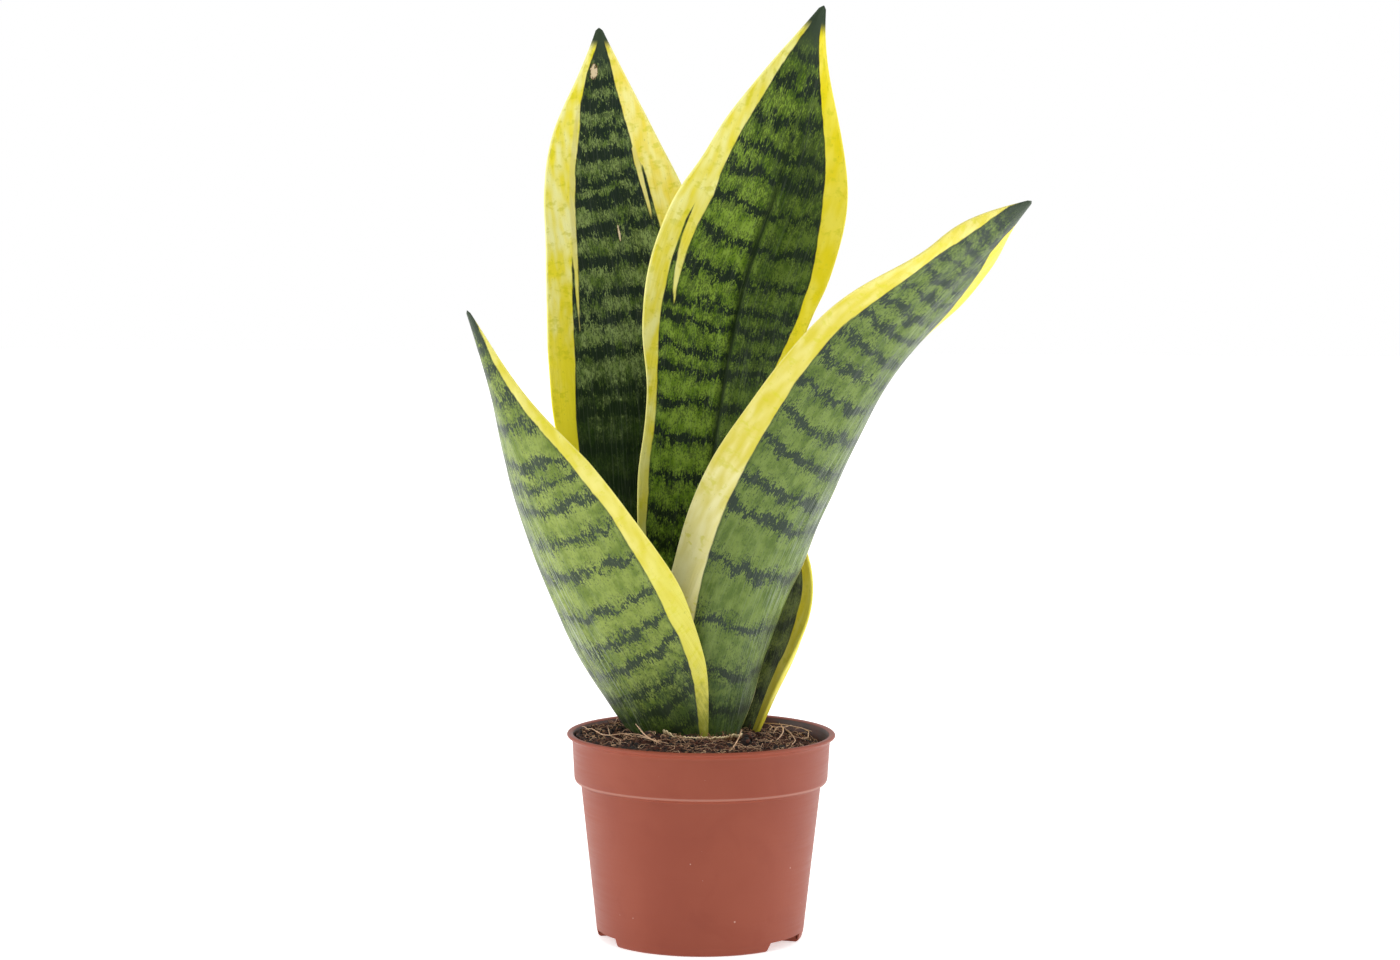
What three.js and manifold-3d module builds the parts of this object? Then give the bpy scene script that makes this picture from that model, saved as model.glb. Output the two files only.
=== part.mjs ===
// Snake plant with yellow-edged leaves in a terracotta-coloured nursery pot.
// Millimetres, +Z up, the pot stands on z = 0 with its axis on Z, the viewer's side is -Y.
import * as THREE from 'three';
import { mergeVertices } from 'three/addons/utils/BufferGeometryUtils.js';
import Module from 'manifold-3d';

const wasm = await Module();
wasm.setup();

// Pot: outer radii and the heights they sit at
const potHeight = 92;
const lipRadius = 60;
const lipDepth = 3;
const bandTopRadius = 57.6;
const bandBottomRadius = 56.6;
const bandBottomHeight = 73;
const bodyTopRadius = 53.6;
const bodyTopHeight = 69;
const bodyBottomRadius = 46.4;
const bodyBottomHeight = 3.5;
const footRadius = 45.6;
const wallThickness = 1.2;
const floorThickness = 1.4;
const roundSegments = 72;

// Three drainage channels run in from the wall between the three feet
const channelAngles = [-68.5, 57, 174.5];
const channelSpan = 30;
const channelHeight = 4;
const channelInnerRadius = 15;
const drainHoleRadius = 4;
const drainHoleDistance = 31;

// Soil
const soilClearance = 0.3;
const soilEdgeHeight = 88.2;
const soilMiddleHeight = 91.8;
const soilTilt = 2.2;
const soilRipple = 0.5;
const soilRings = 9;
const soilSpokes = 60;

// Crown of the rhizome, buried in the soil, with a socket for each leaf base
const crownCentre = [-1, 5, 69];
const crownHalfSize = [31, 26, 12];

// Dry papery sheath left at the front of the leaf bases
const sheathCentre = [-3, 1.5];
const sheathLowRadius = 24.6;
const sheathTopRadius = 27;
const sheathLowHeight = 83;
const sheathTopHeight = 94.5;
const sheathFrom = -117;
const sheathTo = -42;
const sheathThickness = 0.9;

// Leaves: thickness along the middle and at the yellow margins
const leafThickness = 2.8;
const marginThickness = 1.1;
const tipThickness = 1.3;
const pocketGrowth = 0.35;
const leafSteps = 30;
const leafColumns = 10;

// Each leaf is a channel swept along a curved midrib. Stations run from the base to the tip:
// x, y, z, half width along the curve, half opening angle of the channel, and the heading
// of its hollow side (0 towards -Y, 90 towards +X), angles in degrees.
const frontLeftLeaf = [
  [-12.5, -15, 80.5, 18.5, 64, 148],
  [-28, -19.5, 111.5, 35, 64, 147],
  [-47, -27, 143.5, 43.5, 64, 140],
  [-63.5, -37, 177, 41.5, 60, 134],
  [-77, -47, 211, 33, 57, 129],
  [-88.5, -56.5, 246.5, 14, 58, 121],
  [-100, -66, 281.5, 1, 60, 117],
];
const frontRightLeaf = [
  [-0.5, -11, 80, 16, 54, 193],
  [9.5, -14, 130, 30.5, 59, 198],
  [26.5, -18.5, 178, 37.5, 59, 207],
  [51, -24.5, 223, 38, 54, 221],
  [79, -31, 265.5, 35, 43, 232],
  [111.5, -39, 301.5, 27, 11, 241],
  [140, -44, 329, 1, 48, 238],
];
const backRightLeaf = [
  [-3, 12.5, 78, 14, 32, -6],
  [-3.5, 17, 133.5, 22, 34, -6],
  [-1.5, 23, 186.5, 29, 31, -8],
  [4.5, 29.5, 236.5, 30.5, 30, -11],
  [12.5, 35.5, 286, 41.5, 35, -3],
  [30.5, 39.5, 341, 37, 43, 8],
  [53.5, 40, 416.5, 1, 55, -30],
];
const backLeftLeaf = [
  [-15.5, 23, 76.5, 16, 45, 10],
  [-21, 31, 130.5, 27.5, 38, 10],
  [-26, 39, 185, 37.5, 31, 9],
  [-30, 46, 239.5, 42, 27, 10],
  [-36, 52, 294, 39, 28, 10],
  [-46, 57, 349, 28.5, 37, 8],
  [-48.5, 60, 407, 1, 57, 11],
];
const smallRightLeaf = [
  [18.5, 19, 77, 8.5, 70, -54],
  [28.5, 22, 105, 15.5, 61, -52],
  [37.5, 25.5, 132, 22, 52, -48],
  [42.5, 28, 160, 17, 45, -44],
  [36.5, 30, 193.5, 1, 44, -47],
];

const potMaterial = new THREE.MeshStandardMaterial({ color: 0x9b5340, roughness: 0.45, metalness: 0 });
const soilMaterial = new THREE.MeshStandardMaterial({ color: 0x2e1f18, roughness: 1, metalness: 0 });
const leafMaterial = new THREE.MeshStandardMaterial({ color: 0x64803f, roughness: 0.45, metalness: 0 });
const crownMaterial = new THREE.MeshStandardMaterial({ color: 0xb98f4e, roughness: 0.8, metalness: 0 });
const sheathMaterial = new THREE.MeshStandardMaterial({ color: 0xb8946a, roughness: 0.9, metalness: 0 });

// Value of a station list at u from 0 to 1, smooth through every station
function stationAt(stations, u) {
  const last = stations.length - 1;
  const place = Math.min(Math.max(u, 0), 1) * last;
  const index = Math.min(Math.floor(place), last - 1);
  const t = place - index;
  return stations[0].map((unused, column) => {
    const here = stations[index][column];
    const next = stations[index + 1][column];
    const before = index > 0 ? stations[index - 1][column] : 2 * here - next;
    const after = index < last - 1 ? stations[index + 2][column] : 2 * next - here;
    const leaving = (next - before) / 2;
    const arriving = (after - here) / 2;
    const t2 = t * t;
    const t3 = t2 * t;
    return (2 * t3 - 3 * t2 + 1) * here + (t3 - 2 * t2 + t) * leaving
      + (3 * t2 - 2 * t3) * next + (t3 - t2) * arriving;
  });
}

// Cross-section of a leaf at u: its midrib point and the directions along, across and to the hollow
function leafSection(stations, u) {
  const step = 0.001;
  const [x, y, z, halfWidth, opening, heading] = stationAt(stations, u);
  const ahead = stationAt(stations, u + step);
  const behind = stationAt(stations, u - step);
  const along = new THREE.Vector3(ahead[0] - behind[0], ahead[1] - behind[1], ahead[2] - behind[2]).normalize();
  const angle = THREE.MathUtils.degToRad(heading);
  const hollow = new THREE.Vector3(Math.sin(angle), -Math.cos(angle), 0);
  hollow.addScaledVector(along, -hollow.dot(along)).normalize();
  const across = new THREE.Vector3().crossVectors(along, hollow);
  const middle = new THREE.Vector3(x, y, z);
  return { middle, along, hollow, across, halfWidth, opening: THREE.MathUtils.degToRad(opening) };
}

// Half thickness across the leaf: full along the middle, thin at the margins and the tip
function halfThickness(u, v) {
  const nearTip = THREE.MathUtils.smoothstep(u, 0.8, 1);
  const middle = THREE.MathUtils.lerp(leafThickness, tipThickness, nearTip);
  return THREE.MathUtils.lerp(middle, marginThickness, v * v) / 2;
}

// Closed leaf body. growth widens it all round, to cut its socket in the soil and the crown.
function leafGeometry(stations, growth = 0, lastU = 1) {
  const positions = [];
  const indices = [];
  const ring = 2 * (leafColumns + 1);
  for (let i = 0; i <= leafSteps; i++) {
    const u = (i / leafSteps) * lastU;
    const { middle, along, hollow, across, halfWidth, opening } = leafSection(stations, u);
    if (i === 0) middle.addScaledVector(along, -growth);
    const radius = halfWidth / opening;
    const edge = (halfWidth + growth) / halfWidth;
    const pointAt = (v, side) => {
      const angle = opening * v * edge;
      const offset = side * (halfThickness(u, v) + growth);
      const reach = radius - offset;
      return middle.clone()
        .addScaledVector(across, reach * Math.sin(angle))
        .addScaledVector(hollow, radius - reach * Math.cos(angle));
    };
    for (let j = 0; j <= leafColumns; j++) positions.push(...pointAt(-1 + (2 * j) / leafColumns, 1).toArray());
    for (let j = leafColumns; j >= 0; j--) positions.push(...pointAt(-1 + (2 * j) / leafColumns, -1).toArray());
  }
  for (let i = 0; i < leafSteps; i++) {
    for (let k = 0; k < ring; k++) {
      const a = i * ring + k;
      const b = i * ring + ((k + 1) % ring);
      indices.push(a, b, b + ring, a, b + ring, a + ring);
    }
  }
  for (let j = 0; j < leafColumns; j++) {
    const low = [j, j + 1, ring - 2 - j, ring - 1 - j];
    const high = low.map((k) => k + leafSteps * ring);
    indices.push(low[0], low[2], low[1], low[0], low[3], low[2]);
    indices.push(high[0], high[1], high[2], high[0], high[2], high[3]);
  }
  const geometry = new THREE.BufferGeometry();
  geometry.setAttribute('position', new THREE.Float32BufferAttribute(positions, 3));
  geometry.setIndex(indices);
  return geometry;
}

function toManifold(geometry) {
  const bare = geometry.clone();
  bare.deleteAttribute('normal');
  bare.deleteAttribute('uv');
  const merged = mergeVertices(bare, 1e-4);
  return new wasm.Manifold(new wasm.Mesh({
    numProp: 3,
    vertProperties: new Float32Array(merged.attributes.position.array),
    triVerts: new Uint32Array(merged.index.array),
  }));
}

function toGeometry(solid) {
  const mesh = solid.getMesh();
  const geometry = new THREE.BufferGeometry();
  geometry.setAttribute('position', new THREE.BufferAttribute(new Float32Array(mesh.vertProperties), 3));
  geometry.setIndex(new THREE.BufferAttribute(new Uint32Array(mesh.triVerts), 1));
  return geometry;
}

// Solid of revolution about Z from [radius, height] pairs that start and end on the axis
function revolve(profile, segments = roundSegments) {
  const points = profile.map(([radius, height]) => new THREE.Vector2(radius, height));
  const geometry = new THREE.LatheGeometry(points, segments);
  geometry.rotateX(Math.PI / 2);
  return toManifold(geometry);
}

// Upright wedge of a ring, centred on an angle measured from the viewer's side towards +X
function wedge(centreAngle, span, innerRadius, outerRadius, low, high) {
  const shape = new THREE.Shape();
  const from = THREE.MathUtils.degToRad(centreAngle - 90 - span / 2);
  const to = THREE.MathUtils.degToRad(centreAngle - 90 + span / 2);
  const arcSteps = 10;
  for (let i = 0; i <= arcSteps; i++) {
    const angle = THREE.MathUtils.lerp(from, to, i / arcSteps);
    const x = outerRadius * Math.cos(angle);
    const y = outerRadius * Math.sin(angle);
    if (i === 0) shape.moveTo(x, y);
    else shape.lineTo(x, y);
  }
  for (let i = arcSteps; i >= 0; i--) {
    const angle = THREE.MathUtils.lerp(from, to, i / arcSteps);
    shape.lineTo(innerRadius * Math.cos(angle), innerRadius * Math.sin(angle));
  }
  shape.closePath();
  const geometry = new THREE.ExtrudeGeometry(shape, { depth: high - low, bevelEnabled: false });
  geometry.translate(0, 0, low);
  return toManifold(geometry);
}

// Radius of the pot's inner wall at a height
function innerRadiusAt(height) {
  const t = (height - bodyBottomHeight) / (bodyTopHeight - bodyBottomHeight);
  return THREE.MathUtils.lerp(bodyBottomRadius, bodyTopRadius, t) - wallThickness;
}

function makePot() {
  const bandInner = bandBottomRadius - wallThickness;
  const outside = [
    [0, 0], [footRadius - 1, 0], [footRadius, 0.6], [bodyBottomRadius, bodyBottomHeight],
    [bodyTopRadius, bodyTopHeight], [bandBottomRadius - 0.8, bodyTopHeight + 1.6],
    [bandBottomRadius, bandBottomHeight], [bandTopRadius, potHeight - lipDepth],
    [lipRadius - 0.4, potHeight - lipDepth + 0.8], [lipRadius, potHeight - 1.6],
    [lipRadius - 0.6, potHeight - 0.4], [lipRadius - 1.6, potHeight],
  ];
  const inside = [
    [bandTopRadius - wallThickness, potHeight - lipDepth + 1], [bandInner, bandBottomHeight + 0.4],
    [bodyTopRadius - wallThickness, bodyTopHeight + 0.8], [innerRadiusAt(bodyBottomHeight), floorThickness],
    [0, floorThickness],
  ];
  let pot = revolve([...outside, ...inside]);
  const ceiling = channelHeight + floorThickness;
  for (const angle of channelAngles) {
    const wallSpan = 3;
    const outer = innerRadiusAt(channelHeight) + 0.4;
    pot = pot.add(wedge(angle, channelSpan + wallSpan, channelInnerRadius - wallThickness, outer, 0.2, ceiling));
    pot = pot.subtract(wedge(angle, channelSpan, channelInnerRadius, lipRadius, -1, channelHeight));
    const direction = THREE.MathUtils.degToRad(angle - 90);
    const hole = new THREE.CylinderGeometry(drainHoleRadius, drainHoleRadius, 4 * floorThickness, 24);
    hole.rotateX(Math.PI / 2);
    hole.translate(drainHoleDistance * Math.cos(direction), drainHoleDistance * Math.sin(direction), ceiling);
    pot = pot.subtract(toManifold(hole));
  }
  return toGeometry(pot);
}

// Soil surface: heaped in the middle, a little lower at the back right, gently uneven
function soilHeight(x, y) {
  const distance = Math.hypot(x, y) / innerRadiusAt(bodyTopHeight);
  const heap = THREE.MathUtils.lerp(soilMiddleHeight, soilEdgeHeight, distance ** 2.5);
  const tilt = (soilTilt * (y + 1.4 * x)) / lipRadius;
  const ripple = soilRipple * (Math.sin(x / 6.5 + 1) * Math.cos(y / 5.5) + Math.sin((x - y) / 9));
  return heap - Math.max(tilt, -soilTilt) + ripple;
}

function soilBody() {
  const positions = [];
  const indices = [];
  const bottomRadius = innerRadiusAt(bodyBottomHeight) - soilClearance;
  const waistRadius = bodyTopRadius - wallThickness - soilClearance;
  const topRadius = bandBottomRadius - wallThickness - soilClearance;
  const shoulder = bandBottomHeight + 1.5;
  const rings = [];
  rings.push([0.5 * bottomRadius, floorThickness + soilClearance]);
  rings.push([bottomRadius, floorThickness + soilClearance]);
  rings.push([waistRadius, bodyTopHeight + 1.2]);
  rings.push([topRadius, shoulder]);
  for (let i = soilRings; i > 0; i--) rings.push([(topRadius * i) / soilRings, null]);
  positions.push(0, 0, floorThickness + soilClearance);
  for (const [radius, height] of rings) {
    for (let k = 0; k < soilSpokes; k++) {
      const angle = (2 * Math.PI * k) / soilSpokes;
      const x = radius * Math.cos(angle);
      const y = radius * Math.sin(angle);
      positions.push(x, y, height === null ? soilHeight(x, y) : height);
    }
  }
  positions.push(0, 0, soilHeight(0, 0));
  const top = 1 + rings.length * soilSpokes;
  for (let k = 0; k < soilSpokes; k++) {
    const next = (k + 1) % soilSpokes;
    indices.push(0, 1 + next, 1 + k);
    for (let i = 0; i < rings.length - 1; i++) {
      const low = 1 + i * soilSpokes;
      const high = low + soilSpokes;
      indices.push(low + k, low + next, high + next, low + k, high + next, high + k);
    }
    indices.push(top - soilSpokes + k, top - soilSpokes + next, top);
  }
  const geometry = new THREE.BufferGeometry();
  geometry.setAttribute('position', new THREE.Float32BufferAttribute(positions, 3));
  geometry.setIndex(indices);
  return geometry;
}

function crownGeometry(growth = 0) {
  const geometry = new THREE.SphereGeometry(1, 32, 20);
  geometry.scale(crownHalfSize[0] + growth, crownHalfSize[1] + growth, crownHalfSize[2] + growth);
  geometry.translate(...crownCentre);
  return geometry;
}

// Curved strip leaning outwards, with an uneven torn upper edge
function sheathGeometry(growth = 0) {
  const steps = 24;
  const positions = [];
  const indices = [];
  const half = sheathThickness / 2 + growth;
  const overrun = growth / sheathLowRadius;
  for (let i = 0; i <= steps; i++) {
    const t = i / steps;
    const angle = THREE.MathUtils.degToRad(THREE.MathUtils.lerp(sheathFrom, sheathTo, t)) + overrun * (2 * t - 1);
    const torn = 1.2 * Math.sin(9 * t) * Math.sin(23 * t + 1) - 2.5 * Math.abs(2 * t - 1) ** 3;
    const low = sheathLowHeight - growth;
    const high = sheathTopHeight + torn + growth;
    const corners = [[sheathLowRadius - half, low], [sheathLowRadius + half, low],
      [sheathTopRadius + half, high], [sheathTopRadius - half, high]];
    for (const [radius, height] of corners) {
      positions.push(sheathCentre[0] + radius * Math.cos(angle), sheathCentre[1] + radius * Math.sin(angle), height);
    }
  }
  for (let i = 0; i < steps; i++) {
    for (let k = 0; k < 4; k++) {
      const a = 4 * i + k;
      const b = 4 * i + ((k + 1) % 4);
      indices.push(a, b + 4, b, a, a + 4, b + 4);
    }
  }
  const end = 4 * steps;
  indices.push(0, 1, 2, 0, 2, 3);
  indices.push(end, end + 2, end + 1, end, end + 3, end + 2);
  const geometry = new THREE.BufferGeometry();
  geometry.setAttribute('position', new THREE.Float32BufferAttribute(positions, 3));
  geometry.setIndex(indices);
  return geometry;
}

const leaves = {
  leaf_front_left: frontLeftLeaf,
  leaf_front_right: frontRightLeaf,
  leaf_back_right: backRightLeaf,
  leaf_back_left: backLeftLeaf,
  leaf_small_right: smallRightLeaf,
};

// The buried end of each leaf, a little larger all round
function leafSockets() {
  const buriedPart = 0.35;
  return Object.values(leaves).map((stations) => toManifold(leafGeometry(stations, pocketGrowth, buriedPart)));
}

function largestPiece(solid) {
  return solid.decompose().sort((a, b) => b.volume() - a.volume())[0];
}

function makeCrown() {
  let crown = toManifold(crownGeometry());
  for (const socket of leafSockets()) crown = crown.subtract(socket);
  return toGeometry(largestPiece(crown));
}

function makeSoil() {
  let soil = toManifold(soilBody());
  for (const angle of channelAngles) {
    const span = channelSpan + 5;
    const ceiling = channelHeight + floorThickness + soilClearance;
    soil = soil.subtract(wedge(angle, span, channelInnerRadius - 2 * wallThickness, lipRadius, 0, ceiling));
  }
  for (const socket of leafSockets()) soil = soil.subtract(socket);
  soil = soil.subtract(toManifold(crownGeometry(pocketGrowth)));
  soil = soil.subtract(toManifold(sheathGeometry(pocketGrowth)));
  return toGeometry(largestPiece(soil));
}

function named(name, geometry, material) {
  const flat = geometry.index ? geometry.toNonIndexed() : geometry;
  flat.computeVertexNormals();
  const mesh = new THREE.Mesh(flat, material);
  mesh.name = name;
  return mesh;
}

const plant = new THREE.Group();
plant.name = 'potted_snake_plant';
plant.add(named('pot', makePot(), potMaterial));
plant.add(named('soil', makeSoil(), soilMaterial));
plant.add(named('rhizome_crown', makeCrown(), crownMaterial));
plant.add(named('dry_sheath', sheathGeometry(), sheathMaterial));
for (const [name, stations] of Object.entries(leaves)) {
  plant.add(named(name, leafGeometry(stations), leafMaterial));
}

export default plant;
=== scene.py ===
import math
import random

import bpy
import numpy as np
from mathutils import Matrix, Vector, noise


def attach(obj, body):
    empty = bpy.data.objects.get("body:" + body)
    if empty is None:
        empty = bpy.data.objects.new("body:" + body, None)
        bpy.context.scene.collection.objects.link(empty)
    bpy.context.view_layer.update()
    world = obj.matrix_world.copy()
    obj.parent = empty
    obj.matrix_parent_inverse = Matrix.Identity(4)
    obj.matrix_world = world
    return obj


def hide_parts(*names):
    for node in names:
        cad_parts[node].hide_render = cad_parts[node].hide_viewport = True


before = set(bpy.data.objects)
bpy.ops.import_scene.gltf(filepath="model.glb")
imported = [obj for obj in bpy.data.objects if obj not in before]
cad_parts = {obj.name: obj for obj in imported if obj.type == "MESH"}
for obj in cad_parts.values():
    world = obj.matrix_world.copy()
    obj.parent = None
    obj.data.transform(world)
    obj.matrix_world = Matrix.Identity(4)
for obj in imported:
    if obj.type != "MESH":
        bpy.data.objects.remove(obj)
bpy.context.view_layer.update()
mm = 0.001
shakes = random.Random(11)
print("stage: packed plant loaded")


def paint(*screenColour):
    # screen colour 0-255 to the linear colour that shaders use
    linear = []
    for level in screenColour:
        share = level / 255
        linear.append(share / 12.92 if level < 10.3 else ((share + 0.055) / 1.055) ** 2.4)
    return (*linear, 1)


def deselectAll():
    if bpy.context.object and bpy.context.object.mode != "OBJECT":
        bpy.ops.object.mode_set(mode="OBJECT")
    bpy.ops.object.select_all(action="DESELECT")


def onlySelect(*objects):
    deselectAll()
    for piece in objects:
        piece.select_set(True)
    bpy.context.view_layer.objects.active = objects[0]


def editAll():
    bpy.ops.object.mode_set(mode="EDIT")
    bpy.ops.mesh.select_all(action="SELECT")


def leaveEdit():
    bpy.ops.object.mode_set(mode="OBJECT")


def applyModifiers(piece):
    onlySelect(piece)
    for modifier in list(piece.modifiers):
        bpy.ops.object.modifier_apply(modifier=modifier.name)


def verticesOf(piece):
    co = np.empty(len(piece.data.vertices) * 3)
    piece.data.vertices.foreach_get("co", co)
    return co.reshape(-1, 3)


def moveVertices(piece, co):
    piece.data.vertices.foreach_set("co", np.asarray(co, float).ravel())
    piece.data.update()


def finishPiece(piece, name, material, slot, *replaced):
    piece.name = name
    piece.data.name = name
    piece.data.materials.clear()
    piece.data.materials.append(material)
    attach(piece, "root")
    if replaced:
        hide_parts(*replaced)


# camera, lamps and floor

cameraView = {
    "place": (-1.165 * mm, -1477.1 * mm, 325.2 * mm),
    "downTilt": 0.0813,
    "roll": 0.0057,
    "lens": 85.82,
}
studio = {
    "surroundFront": 0.06,
    "surroundBack": 0.95,
    "lampAim": (0, 0, 0.2),
    # name, place, size and power of each soft lamp
    "lamps": [
        ("key_left", (-1.15, -0.85, 0.75), (0.9, 1.2), 5.6),
        ("fill_right", (1.3, -0.5, 0.55), (0.7, 1.2), 3.8),
        ("top_front", (0.1, -0.7, 1.5), (1.2, 0.8), 3.2),
        ("side_left", (-1.35, 0.15, 0.35), (0.8, 1.3), 5.5),
        ("side_right", (1.35, 0.15, 0.35), (0.8, 1.3), 5.5),
    ],
    "floorWidth": 12,
    "floorColour": paint(250, 250, 250),
    "floorShade": paint(248, 248, 248),
    "floorRoughness": 0.9,
    "floorGlow": 0.55,
}


def makeCamera():
    data = bpy.data.cameras.new("camera")
    data.lens = cameraView["lens"]
    camera = bpy.data.objects.new("camera", data)
    bpy.context.scene.collection.objects.link(camera)
    tilt = Matrix.Rotation(math.pi / 2 - cameraView["downTilt"], 4, "X")
    roll = Matrix.Rotation(cameraView["roll"], 4, "Z")
    camera.matrix_world = Matrix.Translation(cameraView["place"]) @ tilt @ roll
    bpy.context.scene.camera = camera


def makeRoom():
    # darker on the viewer's side, as in a studio with white walls behind and beside the plant
    bpy.context.scene.view_settings.view_transform = "Standard"
    world = bpy.data.worlds.new("studio")
    bpy.context.scene.world = world
    world.use_nodes = True
    tree = world.node_tree
    tree.nodes.clear()
    white = (1, 1, 1, 1)
    seen = put(tree, "ShaderNodeBackground", {"Color": white, "Strength": 1.0})
    towards = put(tree, "ShaderNodeTexCoord").outputs["Generated"]
    glow = ramp(tree, axisOf(tree, towards, 1), -0.85, 0.1, studio["surroundFront"], studio["surroundBack"])
    lit = put(tree, "ShaderNodeBackground", {"Color": white, "Strength": glow})
    fromCamera = put(tree, "ShaderNodeLightPath").outputs["Is Camera Ray"]
    either = put(tree, "ShaderNodeMixShader", {0: fromCamera, 1: lit.outputs[0], 2: seen.outputs[0]})
    put(tree, "ShaderNodeOutputWorld", {"Surface": either.outputs[0]})


def makeLamps():
    for name, place, size, power in studio["lamps"]:
        deselectAll()
        bpy.ops.object.light_add(type="AREA", location=place)
        lamp = bpy.context.object
        lamp.name = name
        lamp.data.shape = "RECTANGLE"
        lamp.data.size, lamp.data.size_y = size
        lamp.data.energy = power
        facing = Vector(studio["lampAim"]) - Vector(place)
        lamp.rotation_euler = facing.to_track_quat("-Z", "Y").to_euler()


def makeFloor():
    deselectAll()
    bpy.ops.mesh.primitive_plane_add(size=1)
    floor = bpy.context.object
    floor.name = "floor"
    editAll()
    width = studio["floorWidth"]
    bpy.ops.transform.resize(value=(width, width, 1), center_override=(0, 0, 0))
    leaveEdit()
    material, tree, shader = newMaterial("pale_floor")
    cloudy = cloud(tree, objectPlace(tree), 3.0, 2.0)
    colour = mixColour(tree, cloudy, studio["floorShade"], studio["floorColour"])
    feed(tree, shader, {"Base Color": colour, "Roughness": studio["floorRoughness"],
                        "Emission Color": (1, 1, 1, 1), "Emission Strength": studio["floorGlow"]})
    floor.data.materials.append(material)


# shader building blocks

def feed(tree, node, feeds):
    for key, value in feeds.items():
        socket = node.inputs[key]
        if isinstance(value, bpy.types.NodeSocket):
            tree.links.new(value, socket)
        else:
            socket.default_value = value


def put(tree, kind, feeds=None, **settings):
    node = tree.nodes.new(kind)
    for key, value in settings.items():
        setattr(node, key, value)
    feed(tree, node, feeds or {})
    return node


def sums(tree, operation, *values, clamp=False):
    node = put(tree, "ShaderNodeMath", dict(enumerate(values)), operation=operation, use_clamp=clamp)
    return node.outputs[0]


def times(tree, first, second, clamp=False):
    return sums(tree, "MULTIPLY", first, second, clamp=clamp)


def plus(tree, first, second):
    return sums(tree, "ADD", first, second)


def timesPlus(tree, value, factor, added):
    return sums(tree, "MULTIPLY_ADD", value, factor, added)


def vectorSums(tree, operation, *values):
    node = put(tree, "ShaderNodeVectorMath", dict(enumerate(values)), operation=operation)
    return node.outputs[0]


def lengthOf(tree, vector):
    return put(tree, "ShaderNodeVectorMath", {0: vector}, operation="LENGTH").outputs["Value"]


def axisOf(tree, vector, axis):
    return put(tree, "ShaderNodeSeparateXYZ", {0: vector}).outputs[axis]


def vectorFrom(tree, x, y, z):
    return put(tree, "ShaderNodeCombineXYZ", {0: x, 1: y, 2: z}).outputs[0]


def objectPlace(tree):
    return put(tree, "ShaderNodeTexCoord").outputs["Object"]


def cloud(tree, where, scale, detail, **more):
    feeds = {"Vector": where, "Scale": scale, "Detail": detail, **more}
    return put(tree, "ShaderNodeTexNoise", feeds).outputs[0]


def bumpOf(tree, height, strength, distance):
    feeds = {"Strength": strength, "Distance": distance, "Height": height}
    return put(tree, "ShaderNodeBump", feeds).outputs[0]


def ramp(tree, value, low, high, toLow=0.0, toHigh=1.0):
    node = put(tree, "ShaderNodeMapRange", {0: value, 1: low, 2: high, 3: toLow, 4: toHigh},
               interpolation_type="SMOOTHSTEP")
    return node.outputs[0]


def mixColour(tree, share, colourA, colourB):
    node = put(tree, "ShaderNodeMix", data_type="RGBA", clamp_factor=True)
    feed(tree, node, {0: share, 6: colourA, 7: colourB})
    return node.outputs[2]


def layered(tree, colour, *layers):
    # lays colours over the first one, each given as (share, colour)
    for share, over in layers:
        colour = mixColour(tree, share, colour, over)
    return colour


def newMaterial(name):
    material = bpy.data.materials.new(name)
    material.use_nodes = True
    tree = material.node_tree
    tree.nodes.clear()
    shader = put(tree, "ShaderNodeBsdfPrincipled")
    put(tree, "ShaderNodeOutputMaterial", {"Surface": shader.outputs[0]})
    return material, tree, shader


def finishSkin(tree, shader, colour, rough, normal, shine=0.5):
    feed(tree, shader, {"Base Color": colour, "Roughness": rough, "Normal": normal,
                        "Specular IOR Level": shine})


def newGroup(name, inputs, outputs):
    tree = bpy.data.node_groups.new(name, "ShaderNodeTree")
    for label, kind in inputs:
        tree.interface.new_socket(name=label, in_out="INPUT", socket_type="NodeSocket" + kind)
    for label, kind in outputs:
        tree.interface.new_socket(name=label, in_out="OUTPUT", socket_type="NodeSocket" + kind)
    return tree, put(tree, "NodeGroupInput").outputs, put(tree, "NodeGroupOutput")


def useGroup(tree, group, feeds):
    node = put(tree, "ShaderNodeGroup", node_tree=group)
    feed(tree, node, feeds)
    return node.outputs


def floats(*names):
    return [(name, "Float") for name in names]


def makeStreaksGroup():
    # noise drawn out along the leaf, from about -1 to 1
    inputs = [("Map", "Vector")] + floats("Across", "Along", "Seed", "Detail")
    tree, given, result = newGroup("drawn_out_noise", inputs, floats("Value"))
    place = vectorSums(tree, "DIVIDE", given["Map"], vectorFrom(tree, given["Across"], given["Along"], 1.0))
    place = vectorSums(tree, "ADD", place, vectorFrom(tree, given["Seed"], given["Seed"], given["Seed"]))
    value = timesPlus(tree, cloud(tree, place, 1.0, given["Detail"], Roughness=0.6), 4.0, -2.0)
    feed(tree, result, {"Value": value})
    return tree


# drawn-out noise in the dark bands: size across and along in millimetres, seed offset and detail
bandGrain = {
    "zigzag": (6.0, 12.0, 0.0, 1.0),
    "teeth": (1.6, 6.0, 5.0, 2.0),
    "swell": (9.0, 8.0, 9.0, 1.0),
    "hairs": (0.55, 2.6, 14.0, 2.0),
    "grain": (0.6, 1.1, 21.0, 2.0),
    "flecks": (0.7, 1.3, 25.0, 2.0),
    "holes": (0.7, 1.5, 29.0, 2.0),
}


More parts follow.
